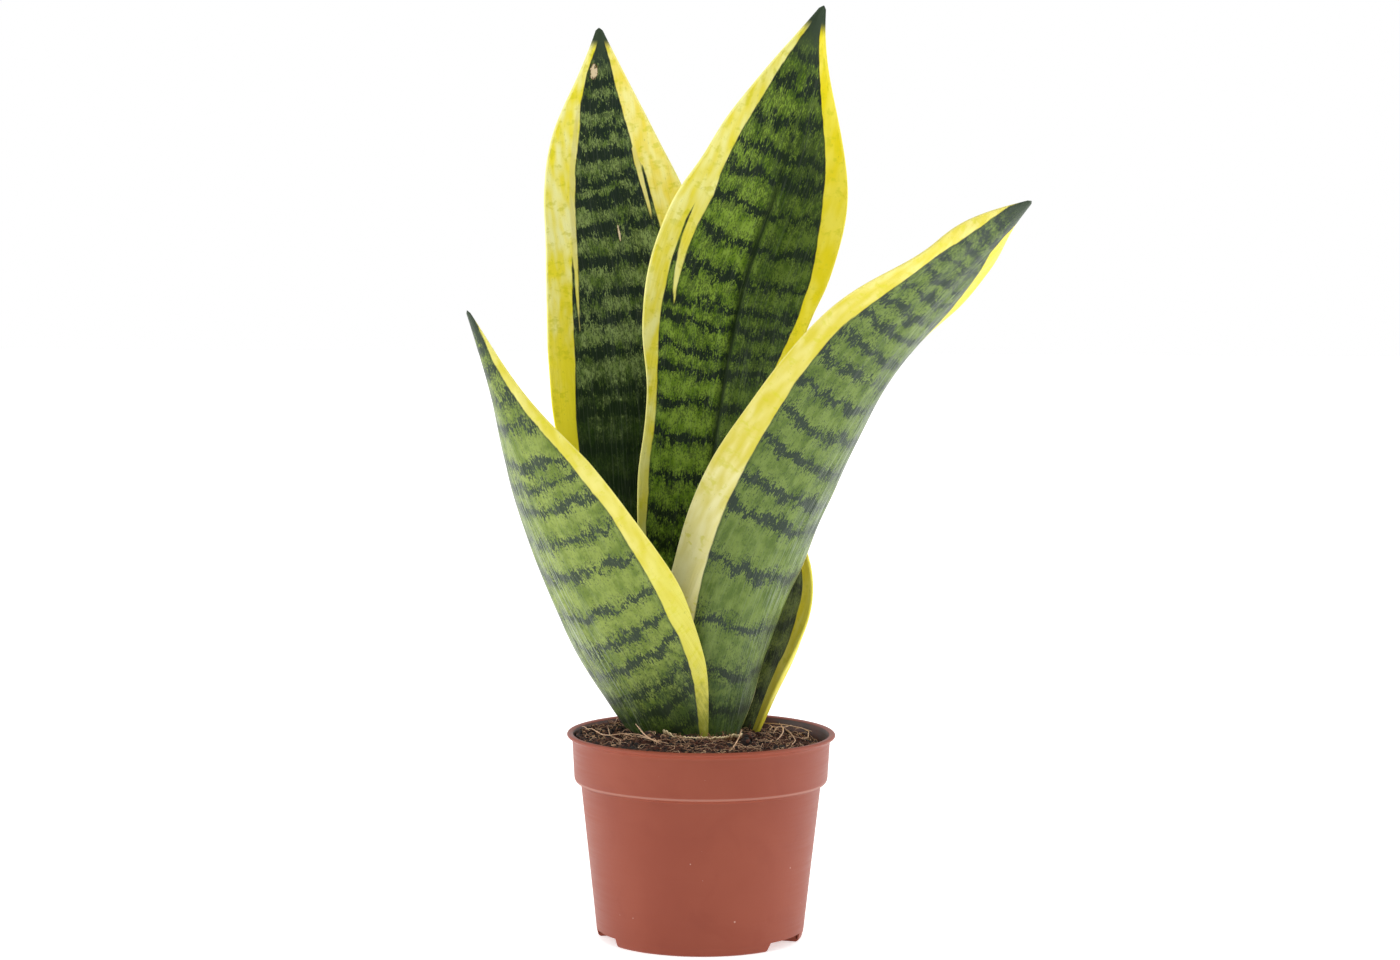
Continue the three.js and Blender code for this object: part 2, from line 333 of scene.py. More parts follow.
def makeBandsGroup(streaks):
    # dark ragged bands across a leaf; Phase counts the bands and Pitch is their spacing in millimetres
    inputs = [("Map", "Vector")] + floats("Phase", "Pitch", "Width", "Zigzag", "Ragged", "Dense", "Seed")
    tree, given, result = newGroup("ragged_bands", inputs, floats("Mask", "Near", "Halo", "Flecks"))

    def noiseOf(name):
        across, along, offset, detail = bandGrain[name]
        return useGroup(tree, streaks, {"Map": given["Map"], "Across": across, "Along": along,
                                        "Seed": plus(tree, given["Seed"], offset), "Detail": detail})[0]

    zigzag = times(tree, noiseOf("zigzag"), given["Zigzag"])
    shift = plus(tree, zigzag, times(tree, noiseOf("teeth"), given["Ragged"]))
    phase = plus(tree, given["Phase"], sums(tree, "DIVIDE", shift, given["Pitch"]))
    fromMiddle = sums(tree, "ABSOLUTE", sums(tree, "SUBTRACT", sums(tree, "FRACT", phase), 0.5))
    away = times(tree, sums(tree, "SUBTRACT", 0.5, fromMiddle), given["Pitch"])
    swell = timesPlus(tree, noiseOf("swell"), 0.8, 1.0)
    inside = sums(tree, "SUBTRACT", times(tree, given["Width"], swell), away)
    hairs = noiseOf("hairs")
    grain = noiseOf("grain")
    edge = timesPlus(tree, grain, 1.7, timesPlus(tree, hairs, 2.4, inside))
    holes = ramp(tree, noiseOf("holes"), 0.45, 0.95, 1.0, 0.5)
    mask = times(tree, ramp(tree, edge, -0.25, 0.4), holes)
    spread = timesPlus(tree, grain, 1.7, timesPlus(tree, inside, 0.22, given["Dense"]))
    halo = ramp(tree, timesPlus(tree, hairs, 1.2, spread), 0.15, 0.5)
    near = ramp(tree, inside, -4.5, 0.5)
    flecks = times(tree, ramp(tree, noiseOf("flecks"), 0.25, 0.5), timesPlus(tree, near, 0.6, 0.4))
    feed(tree, result, {"Mask": mask, "Near": near, "Halo": halo, "Flecks": flecks})
    return tree


def makeDustGroup():
    # sparse pale specks
    inputs = [("Vector", "Vector")] + floats("Spacing", "Size", "Amount")
    tree, given, result = newGroup("dust_specks", inputs, floats("Mask"))
    spacing = vectorFrom(tree, given["Spacing"], given["Spacing"], given["Spacing"])
    place = vectorSums(tree, "DIVIDE", given["Vector"], spacing)
    cells = put(tree, "ShaderNodeTexVoronoi", {"Vector": place, "Scale": 1.0})
    chance = put(tree, "ShaderNodeSeparateColor", {0: cells.outputs["Color"]}).outputs[0]
    near = sums(tree, "LESS_THAN", cells.outputs["Distance"], times(tree, given["Size"], chance))
    few = sums(tree, "LESS_THAN", chance, given["Amount"])
    feed(tree, result, {"Mask": times(tree, near, few)})
    return tree


streaksGroup = makeStreaksGroup()
bandsGroup = makeBandsGroup(streaksGroup)
dustGroup = makeDustGroup()
makeCamera()
makeRoom()
makeLamps()
makeFloor()
print("stage: camera, lamps and floor ready")


# nursery pot

pot = {
    "segments": 160,
    "outside": [(44.6, 0, 0), (45.6, 0.6, 0.5), (46.4, 3.5, 1), (53.55, 68.4, 1.5), (53.9, 69.6, 0.8),
                (56.0, 70.2, 0.6), (56.6, 71.6, 0.8), (57.55, 88.8, 1.0), (58.4, 89.7, 0.4),
                (59.8, 90.5, 0.4),
                (60.0, 91.2, 0.4), (59.5, 91.9, 0.4), (58.4, 92.0, 0.5), (57.4, 91.6, 0.5)],
    "inside": [(56.4, 90, 0.5), (55.4, 73.4, 1), (52.4, 69.8, 1), (45.2, 1.4, 0)],
    "channelAngles": (-68.5, 57, 174.5),
    "channelSpan": 30,
    "channelHeight": 4,
    "channelInner": 15,
    "channelOuter": 70,
    "channelBelow": -2,
    "channelSlope": 2.56,
    # the raised wall over each channel, inside the pot
    "wallSpan": 32.6,
    "wallInner": 13.8,
    "wallOuter": 43.0,
    "wallLow": 0.4,
    "wallHigh": 5.4,
    "wallSlope": 1.6,
    "drainHole": 4,
    "drainHoleAt": 31,
    "drainHoleLow": 3,
    "drainHoleHigh": 7,
    "edgeRound": 0.55,
    "edgeSteps": 3,
    "colour": paint(141, 64, 42),
    "paleColour": paint(147, 71, 49),
    "deepColour": paint(134, 58, 38),
    # painted shade on the inner wall above the soil
    "innerShadeColour": paint(66, 40, 30),
    # pale colour of the dust specks, also used for the painted highlight under the band
    "dustAndHighlightColour": paint(214, 176, 160),
    "specks": {"Spacing": 0.0062, "Size": 0.16, "Amount": 0.42},
    "speckShare": 0.6,
    # the inner wall is what lies nearer to the axis than flare times the height plus start, in metres
    "innerFlare": 0.058,
    "innerStart": 0.0519,
    "innerShadeAbove": 0.0722,
    # painted highlight along the rounded lower edge of the band
    "highlightHeight": 0.0709,
    "highlightFade": (0.0007, 0.0003),
    "highlightOutside": 0.0555,
    "highlightShare": 0.22,
    "roughness": (0.4, 0.52),
    "shine": 0.32,
}


def roundedProfile(corners):
    # replaces each corner (radius, height, rounding) by a short arc
    points = []
    for i, (radius, height, soft) in enumerate(corners):
        here = Vector((radius, height))
        if soft == 0 or i in (0, len(corners) - 1):
            points.append(here)
            continue
        back = Vector(corners[i - 1][:2]) - here
        ahead = Vector(corners[i + 1][:2]) - here
        start = here + back.normalized() * min(soft, back.length * 0.45)
        end = here + ahead.normalized() * min(soft, ahead.length * 0.45)
        for step in range(4):
            t = step / 3
            points.append(start * (1 - t) ** 2 + here * 2 * t * (1 - t) + end * t * t)
    return points


def turnedSolid(profile, segments):
    # grows a disc ring by ring along a profile of (radius, height) in millimetres
    deselectAll()
    radius, height = profile[0]
    bpy.ops.mesh.primitive_circle_add(vertices=segments, radius=radius * mm, fill_type="NGON",
                                      location=(0, 0, height * mm))
    piece = bpy.context.object
    bpy.ops.object.transform_apply(location=True, rotation=True, scale=True)
    editAll()
    for newRadius, newHeight in profile[1:]:
        bpy.ops.mesh.extrude_region_move(TRANSFORM_OT_translate={"value": (0, 0, (newHeight - height) * mm)})
        growth = newRadius / radius
        bpy.ops.transform.resize(value=(growth, growth, 1), center_override=(0, 0, newHeight * mm))
        radius, height = newRadius, newHeight
    bpy.ops.mesh.select_all(action="SELECT")
    bpy.ops.mesh.remove_doubles(threshold=1e-6)
    bpy.ops.mesh.normals_make_consistent(inside=False)
    leaveEdit()
    return piece


def radialDirection(angle):
    turn = math.radians(angle - 90)
    return Vector((math.cos(turn), math.sin(turn), 0))


def channelWedge(angle, span, inner, outer, low, high, slope):
    # wedge that lies along a drainage channel, wider below by the slope of the feet
    deselectAll()
    bpy.ops.mesh.primitive_cube_add(size=1)
    wedge = bpy.context.object
    out = radialDirection(angle)
    side = Vector((-out.y, out.x, 0))
    half = math.tan(math.radians(span / 2))
    for vertex in wedge.data.vertices:
        isOuter = vertex.co.x > 0
        isHigh = vertex.co.z > 0
        reach = outer if isOuter else inner
        spread = reach * half + (0 if isHigh else slope) * (1 if isOuter else 0.3)
        sideways = side * (spread if vertex.co.y > 0 else -spread)
        vertex.co = (out * reach + sideways + Vector((0, 0, high if isHigh else low))) * mm
    return wedge


def drill(x, y, radius, low, high):
    deselectAll()
    bpy.ops.mesh.primitive_cylinder_add(vertices=32, radius=radius * mm, depth=(high - low) * mm,
                                        location=(x * mm, y * mm, (low + high) / 2 * mm))
    bpy.ops.object.transform_apply(location=True, rotation=True, scale=True)
    return bpy.context.object


def combine(piece, others, operation):
    for other in others:
        modifier = piece.modifiers.new("cut", "BOOLEAN")
        modifier.operation = operation
        modifier.solver = "EXACT"
        modifier.object = other
    applyModifiers(piece)
    for other in others:
        bpy.data.objects.remove(other, do_unlink=True)


def potFinish():
    material, tree, shader = newMaterial("moulded_terracotta_plastic")
    where = objectPlace(tree)
    broad = cloud(tree, where, 22.0, 3.0)
    swirl = cloud(tree, where, 60.0, 4.0, Distortion=1.2)
    specks = useGroup(tree, dustGroup, {"Vector": where, **pot["specks"]})[0]
    fromAxis = lengthOf(tree, vectorSums(tree, "MULTIPLY", where, (1, 1, 0)))
    height = axisOf(tree, where, 2)
    # painted highlight: a pale line along the lower edge of the band, where its rounded edge catches the
    # light
    fromLine = sums(tree, "ABSOLUTE", sums(tree, "SUBTRACT", height, pot["highlightHeight"]))
    outside = sums(tree, "GREATER_THAN", fromAxis, pot["highlightOutside"])
    edgeHighlight = times(tree, ramp(tree, fromLine, *pot["highlightFade"]), outside)
    # painted shade: the inner wall above the soil is darkened, where the rim and the leaves shade it
    wall = timesPlus(tree, height, pot["innerFlare"], pot["innerStart"])
    above = sums(tree, "GREATER_THAN", height, pot["innerShadeAbove"])
    inner = times(tree, sums(tree, "LESS_THAN", fromAxis, wall), above)
    colour = layered(
        tree, pot["colour"],
        (ramp(tree, broad, 0.35, 0.68), pot["paleColour"]),
        (ramp(tree, swirl, 0.5, 0.75, 0, 0.3), pot["deepColour"]),
        (times(tree, specks, pot["speckShare"]), pot["dustAndHighlightColour"]),
        (times(tree, edgeHighlight, pot["highlightShare"]), pot["dustAndHighlightColour"]),
        (times(tree, inner, ramp(tree, swirl, 0.3, 0.6, 0.7, 1.0)), pot["innerShadeColour"]))
    # faint scuffs round the wall
    turned = put(tree, "ShaderNodeMapping", {"Vector": where, "Scale": (1, 1, 26)}).outputs[0]
    scuffs = cloud(tree, turned, 30.0, 5.0, Roughness=0.7)
    uneven = plus(tree, times(tree, broad, 0.5), times(tree, scuffs, 0.5))
    grain = cloud(tree, where, 900.0, 2.0)
    finishSkin(tree, shader, colour, ramp(tree, uneven, 0.35, 0.65, *pot["roughness"]),
               bumpOf(tree, timesPlus(tree, scuffs, 0.4, grain), 0.1, 0.0002), pot["shine"])
    return material


def makePot():
    profile = roundedProfile(pot["outside"]) + roundedProfile(pot["inside"])
    piece = turnedSolid([(p.x, p.y) for p in profile], pot["segments"])
    walls, cutters = [], []
    for angle in pot["channelAngles"]:
        walls.append(channelWedge(angle, pot["wallSpan"], pot["wallInner"], pot["wallOuter"], pot["wallLow"],
                                  pot["wallHigh"], pot["wallSlope"]))
    combine(piece, walls, "UNION")
    for angle in pot["channelAngles"]:
        cutters.append(channelWedge(angle, pot["channelSpan"], pot["channelInner"], pot["channelOuter"],
                                    pot["channelBelow"], pot["channelHeight"], pot["channelSlope"]))
    for angle in pot["channelAngles"]:
        centre = radialDirection(angle) * pot["drainHoleAt"]
        cutters.append(drill(centre.x, centre.y, pot["drainHole"], pot["drainHoleLow"], pot["drainHoleHigh"]))
    combine(piece, cutters, "DIFFERENCE")
    edges = piece.modifiers.new("soft_edges", "BEVEL")
    edges.width = pot["edgeRound"] * mm
    edges.segments = pot["edgeSteps"]
    edges.limit_method = "ANGLE"
    edges.angle_limit = math.radians(50)
    applyModifiers(piece)
    onlySelect(piece)
    bpy.ops.object.shade_smooth_by_angle(angle=math.radians(32))
    finishPiece(piece, "nursery_pot", potFinish(), "pot_plastic", "pot")


makePot()
print("stage: pot moulded")


# potting soil

soil = {
    "edgeHeight": 89.3,
    "middleHeight": 91.8,
    "heapRadius": 52.4,
    "tilt": 2.2,
    "ripple": 0.5,
    "rim": 55.9,
    "rimCalm": 6,
    "gridSteps": 230,
    # height and radius of the steps below the surface, down to the pot's floor
    "body": ((74.5, 55.0), (70.2, 52.0), (6.5, 46.0)),
    "crumbs": 2200,
    "crumbSizes": (0.35, 1.15),
    "crumbReach": 54.4,
    "lumps": 26,
    "lumpSizes": (1.2, 2.4),
    "lumpReach": 50.0,
    # lumps laid in front of the leaves, as (x, y, z, size)
    "laidLumps": [(-23.5, -29, 93.5, 4.2), (-21, -32, 92.2, 3.2), (-26.5, -27, 92.5, 3.0),
                  (19.5, -30, 91.8, 3.4), (20.5, -26.5, 93.4, 3.0), (22.5, -31, 90.8, 2.6)],
    "looseFibres": 420,
    "looseThickness": (0.07, 0.19),
    "paleFibres": 190,
    "paleThickness": (0.08, 0.17),
    "fibreLengths": (5, 18),
    "fibreLift": 3.0,
    "fibreCurl": 0.3,
    "fibreSpread": 53,
    "fibreReach": 54.3,
    "rootThinning": 0.68,
    "colour": paint(60, 34, 26),
    "warmColour": paint(112, 62, 42),
    "darkColour": paint(22, 13, 10),
    "fleckColour": paint(150, 112, 84),
    "fleckChance": 0.965,
    "rootColour": paint(230, 190, 154),
    "fibreColour": paint(238, 194, 152),
    "fibreDark": paint(88, 46, 30),
}


def soilHeight(x, y):
    distance = math.hypot(x, y) / soil["heapRadius"]
    heap = soil["middleHeight"] + (soil["edgeHeight"] - soil["middleHeight"]) * distance ** 2.5
    tilt = max(soil["tilt"] * (y + 1.4 * x) / 60, -soil["tilt"])
    ripple = math.sin(x / 6.5 + 1) * math.cos(y / 5.5) + math.sin((x - y) / 9)
    return heap - tilt + soil["ripple"] * ripple


def roughness(x, y):
    # crumbly relief of the surface, in millimetres
    coarse = noise.fractal(Vector((x / 5, y / 5, 3)), 1.0, 2.0, 3)
    fine = noise.fractal(Vector((x / 1.6, y / 1.6, 8)), 0.8, 2.0, 3)
    return 0.9 * coarse + 0.75 * fine


def soilFinish():
    material, tree, shader = newMaterial("peat_potting_mix")
    where = objectPlace(tree)
    clods = cloud(tree, where, 260.0, 5.0, Roughness=0.7)
    crumbs = put(tree, "ShaderNodeTexVoronoi", {"Vector": where, "Scale": 620.0})
    shade = put(tree, "ShaderNodeSeparateColor", {0: crumbs.outputs["Color"]}).outputs[0]
    colour = layered(
        tree, soil["darkColour"],
        (ramp(tree, clods, 0.44, 0.68), soil["colour"]),
        (ramp(tree, shade, 0.5, 1.0, 0, 0.75), soil["warmColour"]),
        (sums(tree, "GREATER_THAN", shade, soil["fleckChance"]), soil["fleckColour"]))
    relief = timesPlus(tree, crumbs.outputs["Distance"], -0.7, clods)
    rough = ramp(tree, clods, 0.3, 0.7, 0.72, 0.98)
    finishSkin(tree, shader, colour, rough, bumpOf(tree, relief, 0.8, 0.001))
    return material


def fibreFinish(name, mainColour):
    material, tree, shader = newMaterial(name + "_skin")
    where = objectPlace(tree)
    strands = cloud(tree, where, 140.0, 3.0)
    fine = cloud(tree, where, 1500.0, 2.0)
    colour = layered(
        tree, mainColour,
        (ramp(tree, strands, 0.48, 0.66), soil["fibreColour"]),
        (ramp(tree, fine, 0.45, 0.7, 0, 0.35), soil["warmColour"]))
    rough = ramp(tree, fine, 0.3, 0.7, 0.6, 0.85)
    finishSkin(tree, shader, colour, rough, bumpOf(tree, fine, 0.4, 0.0002))
    return material


def makeSoil():
    deselectAll()
    steps = soil["gridSteps"]
    bpy.ops.mesh.primitive_grid_add(x_subdivisions=steps, y_subdivisions=steps, size=2)
    piece = bpy.context.object
    flat = verticesOf(piece)
    # the square grid is rounded to a disc, and its relief calms down towards the pot's wall
    rim = soil["rim"]
    xs = flat[:, 0] * np.sqrt(1 - flat[:, 1] ** 2 / 2) * rim
    ys = flat[:, 1] * np.sqrt(1 - flat[:, 0] ** 2 / 2) * rim
    zs = []
    for x, y in zip(xs, ys):
        calm = min(1, 0.35 + (rim - math.hypot(x, y)) / soil["rimCalm"])
        zs.append(soilHeight(x, y) + roughness(x, y) * calm)
    moveVertices(piece, np.stack([xs, ys, zs], 1) * mm)
    # the body of the soil hangs below the rim of the surface
    onlySelect(piece)
    editAll()
    bpy.ops.mesh.region_to_loop()
    for height, radius in soil["body"]:
        bpy.ops.mesh.extrude_region_move(TRANSFORM_OT_translate={"value": (0, 0, 0)})
        leaveEdit()
        for vertex in piece.data.vertices:
            if vertex.select:
                scale = radius / max(math.hypot(vertex.co.x, vertex.co.y) / mm, 1)
                vertex.co = (vertex.co.x * scale, vertex.co.y * scale, height * mm)
        bpy.ops.object.mode_set(mode="EDIT")
    bpy.ops.mesh.edge_face_add()
    bpy.ops.mesh.select_all(action="SELECT")
    bpy.ops.mesh.normals_make_consistent(inside=False)
    leaveEdit()
    onlySelect(piece)
    bpy.ops.object.shade_smooth_by_angle(angle=math.radians(50))
    finishPiece(piece, "potting_soil", soilFinish(), "potting_mix", "soil")


makeSoil()
print("stage: soil filled")


# leaves

leafMake = {
    "columns": 104,
    "rowLength": 1.3,
    "thickness": 2.8,
    "marginThickness": 1.1,
    "tipThickness": 1.3,
    # the outermost columns: distance in from the edge and share of the full thickness
    "edgeSteps": (0.0, 0.1, 0.3, 0.62),
    "edgeShares": (0.14, 0.62, 0.9, 1.0),
    "tipRounding": 1.6,
    # waves in the two edges: length, height and turn of each
    "minusWaves": ((17, 1, 1), (9.5, 0.6, 2), (5.3, 0.35, 3)),
    "plusWaves": ((15, 1, 2.2), (8.7, 0.6, 1), (5.9, 0.35, 5)),
    "ribHeight": 0.25,
    "ribWidth": 2.1,
    "foldWidth": 2.6,
    "footDark": paint(24, 42, 12),
    "olive": paint(128, 134, 22),
    "smudge": paint(214, 208, 16),
    "scarColour": paint(226, 206, 170),
    "scarEdge": paint(112, 76, 44),
    "stripColour": paint(222, 214, 140),
    "tipColour": paint(58, 72, 54),
    # grey of the wax bloom and of the painted sheen at the turned edges
    "waxAndSheenColour": paint(176, 186, 168),
    "roughness": (0.34, 0.52),
}
# drawn-out noise on the leaves: size across and along in millimetres, seed offset and detail
leafGrain = {
    "clouds": (5.0, 8.0, 31.0, 3.0),
    "lowBlotches": (1.8, 3.0, 41.0, 3.0),
    "veil": (0.45, 22.0, 43.0, 2.0),
    "patches": (7.0, 9.0, 45.0, 1.0),
    "yellowDrift": (4.0, 14.0, 51.0, 2.0),
    "yellowClouds": (5.0, 14.0, 53.0, 1.0),
    "smudges": (4.5, 3.0, 59.0, 2.0),
    "oliveSpots": (1.0, 2.0, 61.0, 2.0),
    "footSpots": (1.5, 4.0, 63.0, 3.0),
    "marginWobble": (1.6, 12.0, 67.0, 3.0),
    "ridges": (0.45, 60.0, 71.0, 3.0),
    "ribs": (2.0, 80.0, 73.0, 1.0),
    "pores": (0.5, 0.9, 75.0, 2.0),
    "gloss": (0.8, 30.0, 79.0, 3.0),
    "scarOutline": (1.1, 1.3, 83.0, 2.0),
}
# where the faces of a leaf and its rim lie on the square map for baking
bakeMap = {
    "faceWidth": 0.47,
    "secondFace": 0.53,
    "low": 0.02,
    "tall": 0.96,
    "rimWidth": 0.012,
    "leftRim": 0.482,
    "rightRim": 0.506,
    "lowRim": 0.002,
    "topRim": 0.986,
}

# What the tables of the leaves hold. Sides run from -1 (minus) to 1 (plus), shares from 0 at the foot to 1
# at the tip, and sizes are in millimetres.
# stations: x, y, z, half width along the curve, half opening angle and heading of the hollow side
# bands: shares at which dark bands cross, each sagging in the middle and leaning to one side
# margins: (share, width of the yellow); streaks: yellow strips as (share, distance from the edge, half width)
# folds: (share, side, depth); waxAndSheenAt: middle and spread of the waxy part with its painted sheen, as
# sides
# minusYellow and plusYellow: paler and deeper yellow; footFrom: share where the foot yellow begins;
# footShade: share where the darker foot green begins, partly painted shade from the leaves around it
frontLeftLeaf = {
    "piece": "front_left_leaf",
    "replaces": "leaf_front_left",
    "stations": [(-12.5, -15, 80.5, 18.5, 64, 148), (-28, -19.5, 111.5, 35, 64, 147),
                 (-47, -27, 143.5, 43.5, 64, 140), (-63.5, -37, 177, 41.5, 60, 134),
                 (-77, -47, 211, 33, 57, 129), (-88.5, -56.5, 246.5, 14, 58, 121),
                 (-100, -66, 281.5, 1, 60, 117)],
    "length": 226,
    "bands": (0.02, 0.07, 0.13, 0.175, 0.235, 0.29, 0.36, 0.45, 0.525, 0.60, 0.645, 0.69, 0.77, 0.83, 0.88,
              0.93),
    "bandWidth": 1.9,
    "sag": -2.0,
    "lean": -1.5,
    "zigzag": 2.6,
    "ragged": 1.5,
    "minusMargin": ((0, 4), (0.05, 5.8), (0.1, 7.2), (0.17, 8.3), (0.23, 9.3), (0.28, 10.8), (0.38, 9.9),
                    (0.47, 8.5), (0.54, 7.0), (0.64, 7.2), (0.73, 5.9), (0.81, 4.5), (0.9, 2.8),
                    (0.95, 0.8), (0.97, 0)),
    "plusMargin": ((0, 4), (0.1, 7), (0.3, 9.5), (0.6, 8), (0.8, 4), (0.9, 1.6), (0.95, 0)),
    "wave": 0.5,
    "light": paint(138, 156, 68),
    "lightToo": paint(100, 122, 38),
    "dark": paint(40, 56, 40),
    "low": paint(56, 80, 26),
    "halo": 0.62,
    "flecks": 0.6,
    "contrast": 0.92,
    "veil": 0.75,
    "waxAndSheenAt": (0.45, 0.35),
    "minusYellow": (paint(234, 226, 124), paint(218, 206, 52)),
    "plusYellow": (paint(246, 234, 110), paint(238, 222, 60)),
    "tipGrain": 0.9,
    "footFrom": 0.5,
    "footYellow": paint(226, 220, 96),
    "footShade": 0.23,
    "shine": 0.3,
    "seed": 1.3,
}
frontRightLeaf = {
    "piece": "front_right_leaf",
    "replaces": "leaf_front_right",
    "stations": [(-0.5, -11, 80, 16, 54, 193), (9.5, -14, 130, 30.5, 59, 198),
                 (26.5, -18.5, 178, 37.5, 59, 207), (51, -24.5, 223, 38, 54, 221),
                 (79, -31, 265.5, 35, 43, 232), (111.5, -39, 301.5, 27, 11, 241),
                 (140, -44, 329, 1, 48, 238)],
    "length": 294,
    "bands": (0.03, 0.09, 0.145, 0.215, 0.30, 0.38, 0.42, 0.475, 0.525, 0.575, 0.62, 0.66, 0.70, 0.735,
              0.77, 0.805, 0.835, 0.87, 0.905, 0.94),
    "bandWidth": 2.1,
    "sag": -3.0,
    "lean": 1.0,
    "zigzag": 2.6,
    "ragged": 1.5,
    "plusMargin": ((0, 5), (0.1, 11), (0.2, 16.0), (0.34, 15.8), (0.40, 14.9), (0.48, 12.9), (0.56, 10.6),
                   (0.62, 10), (0.66, 9.4), (0.72, 9.8), (0.76, 8.8), (0.82, 6.6), (0.86, 8.0),
                   (0.90, 6.0), (0.94, 2.6), (0.965, 0.3), (1, 0)),
    "minusMargin": ((0, 0.5), (0.2, 1.0), (0.5, 1.6), (0.66, 3), (0.76, 8), (0.82, 12), (0.88, 12.6),
                    (0.92, 8.5), (0.955, 2), (0.975, 0)),
    "wave": 0.7,
    "light": paint(116, 138, 60),
    "lightToo": paint(84, 108, 34),
    "dark": paint(36, 52, 40),
    "low": paint(58, 84, 30),
    "halo": 0.6,
    "flecks": 0.6,
    "contrast": 0.95,
    "veil": 0.7,
    "waxAndSheenAt": (-0.75, 0.4),
    "minusYellow": (paint(240, 226, 90), paint(232, 214, 48)),
    "plusYellow": (paint(236, 226, 130), paint(222, 208, 60)),
    "tipGrain": 0.8,
    "footFrom": 0.5,
    "footYellow": paint(254, 248, 190),
    "footShade": 0.18,
    "shine": 0.3,
    "scars": [(44.3, 115, 1.2, 2.2)],
    "seed": 4.1,
}
backRightLeaf = {
    "piece": "back_right_leaf",
    "replaces": "leaf_back_right",
    "stations": [(-3, 12.5, 78, 14, 32, -6), (-3.5, 17, 133.5, 22, 34, -6), (-1.5, 23, 186.5, 29, 31, -8),
                 (4.5, 29.5, 236.5, 30.5, 30, -11), (12.5, 35.5, 286, 41.5, 35, -3),
                 (30.5, 39.5, 341, 37, 43, 8), (53.5, 40, 416.5, 1, 55, -30)],
    "length": 347,
    "bands": (0.03, 0.08, 0.13, 0.19, 0.25, 0.30, 0.34, 0.395, 0.45, 0.505, 0.555, 0.585, 0.625, 0.655,
              0.70, 0.75, 0.80, 0.84, 0.865, 0.90, 0.93, 0.96),
    "bandWidth": 2.1,
    "sag": -3.5,
    "lean": 0.0,
    "zigzag": 3.0,
    "ragged": 1.9,
    "minusMargin": ((0, 3), (0.32, 4.2), (0.36, 5.2), (0.41, 4.4), (0.5, 4.3), (0.54, 5.4), (0.58, 7.2),
                    (0.61, 8.6), (0.66, 10.4), (0.7, 10.4), (0.75, 10.2), (0.77, 10.9), (0.79, 12.4),
                    (0.81, 14.6), (0.82, 14.1), (0.87, 11.1), (0.9, 9.3), (0.93, 5.9), (0.96, 3.2),
                    (0.98, 1.9), (1, 0.1)),
    "plusMargin": ((0, 3), (0.3, 6), (0.6, 7.2), (0.66, 7.2), (0.72, 8.5), (0.78, 11.3), (0.82, 11.7),
                   (0.87, 10), (0.9, 8.7), (0.94, 6.8), (0.97, 4.4), (1, 0.1)),
    "streaks": [("minus", (0.635, 15.6, 0.1), (0.66, 14.9, 0.9), (0.70, 14.3, 1.9), (0.73, 14.0, 2.5),
                (0.76, 14.1, 3.0), (0.785, 14.0, 3.0), (0.81, 12.8, 2.2))],
    "folds": [((0.3, 0.05, 0.0), (0.42, 0.12, 1.2), (0.6, 0.12, 1.6), (0.75, 0.1, 1.3), (0.87, 0.12, 0.8),
              (0.92, 0.15, 0.0))],
    "wave": 0.9,
    "light": paint(140, 170, 62),
    "lightToo": paint(96, 128, 28),
    "dark": paint(26, 40, 30),
    "low": paint(34, 60, 16),
    "halo": 0.6,
    "flecks": 0.5,
    "contrast": 0.96,
    "veil": 0.05,
    "waxAndSheenAt": (0.0, 3.0),
    "minusYellow": (paint(255, 250, 160), paint(244, 230, 70)),
    "plusYellow": (paint(252, 238, 84), paint(242, 224, 26)),
    "tipGrain": 0.35,
    "footFrom": 0.5,
    "footYellow": paint(228, 226, 132),
    "footShade": 0.34,
    "shine": 0.12,
    "seed": 7.7,
}
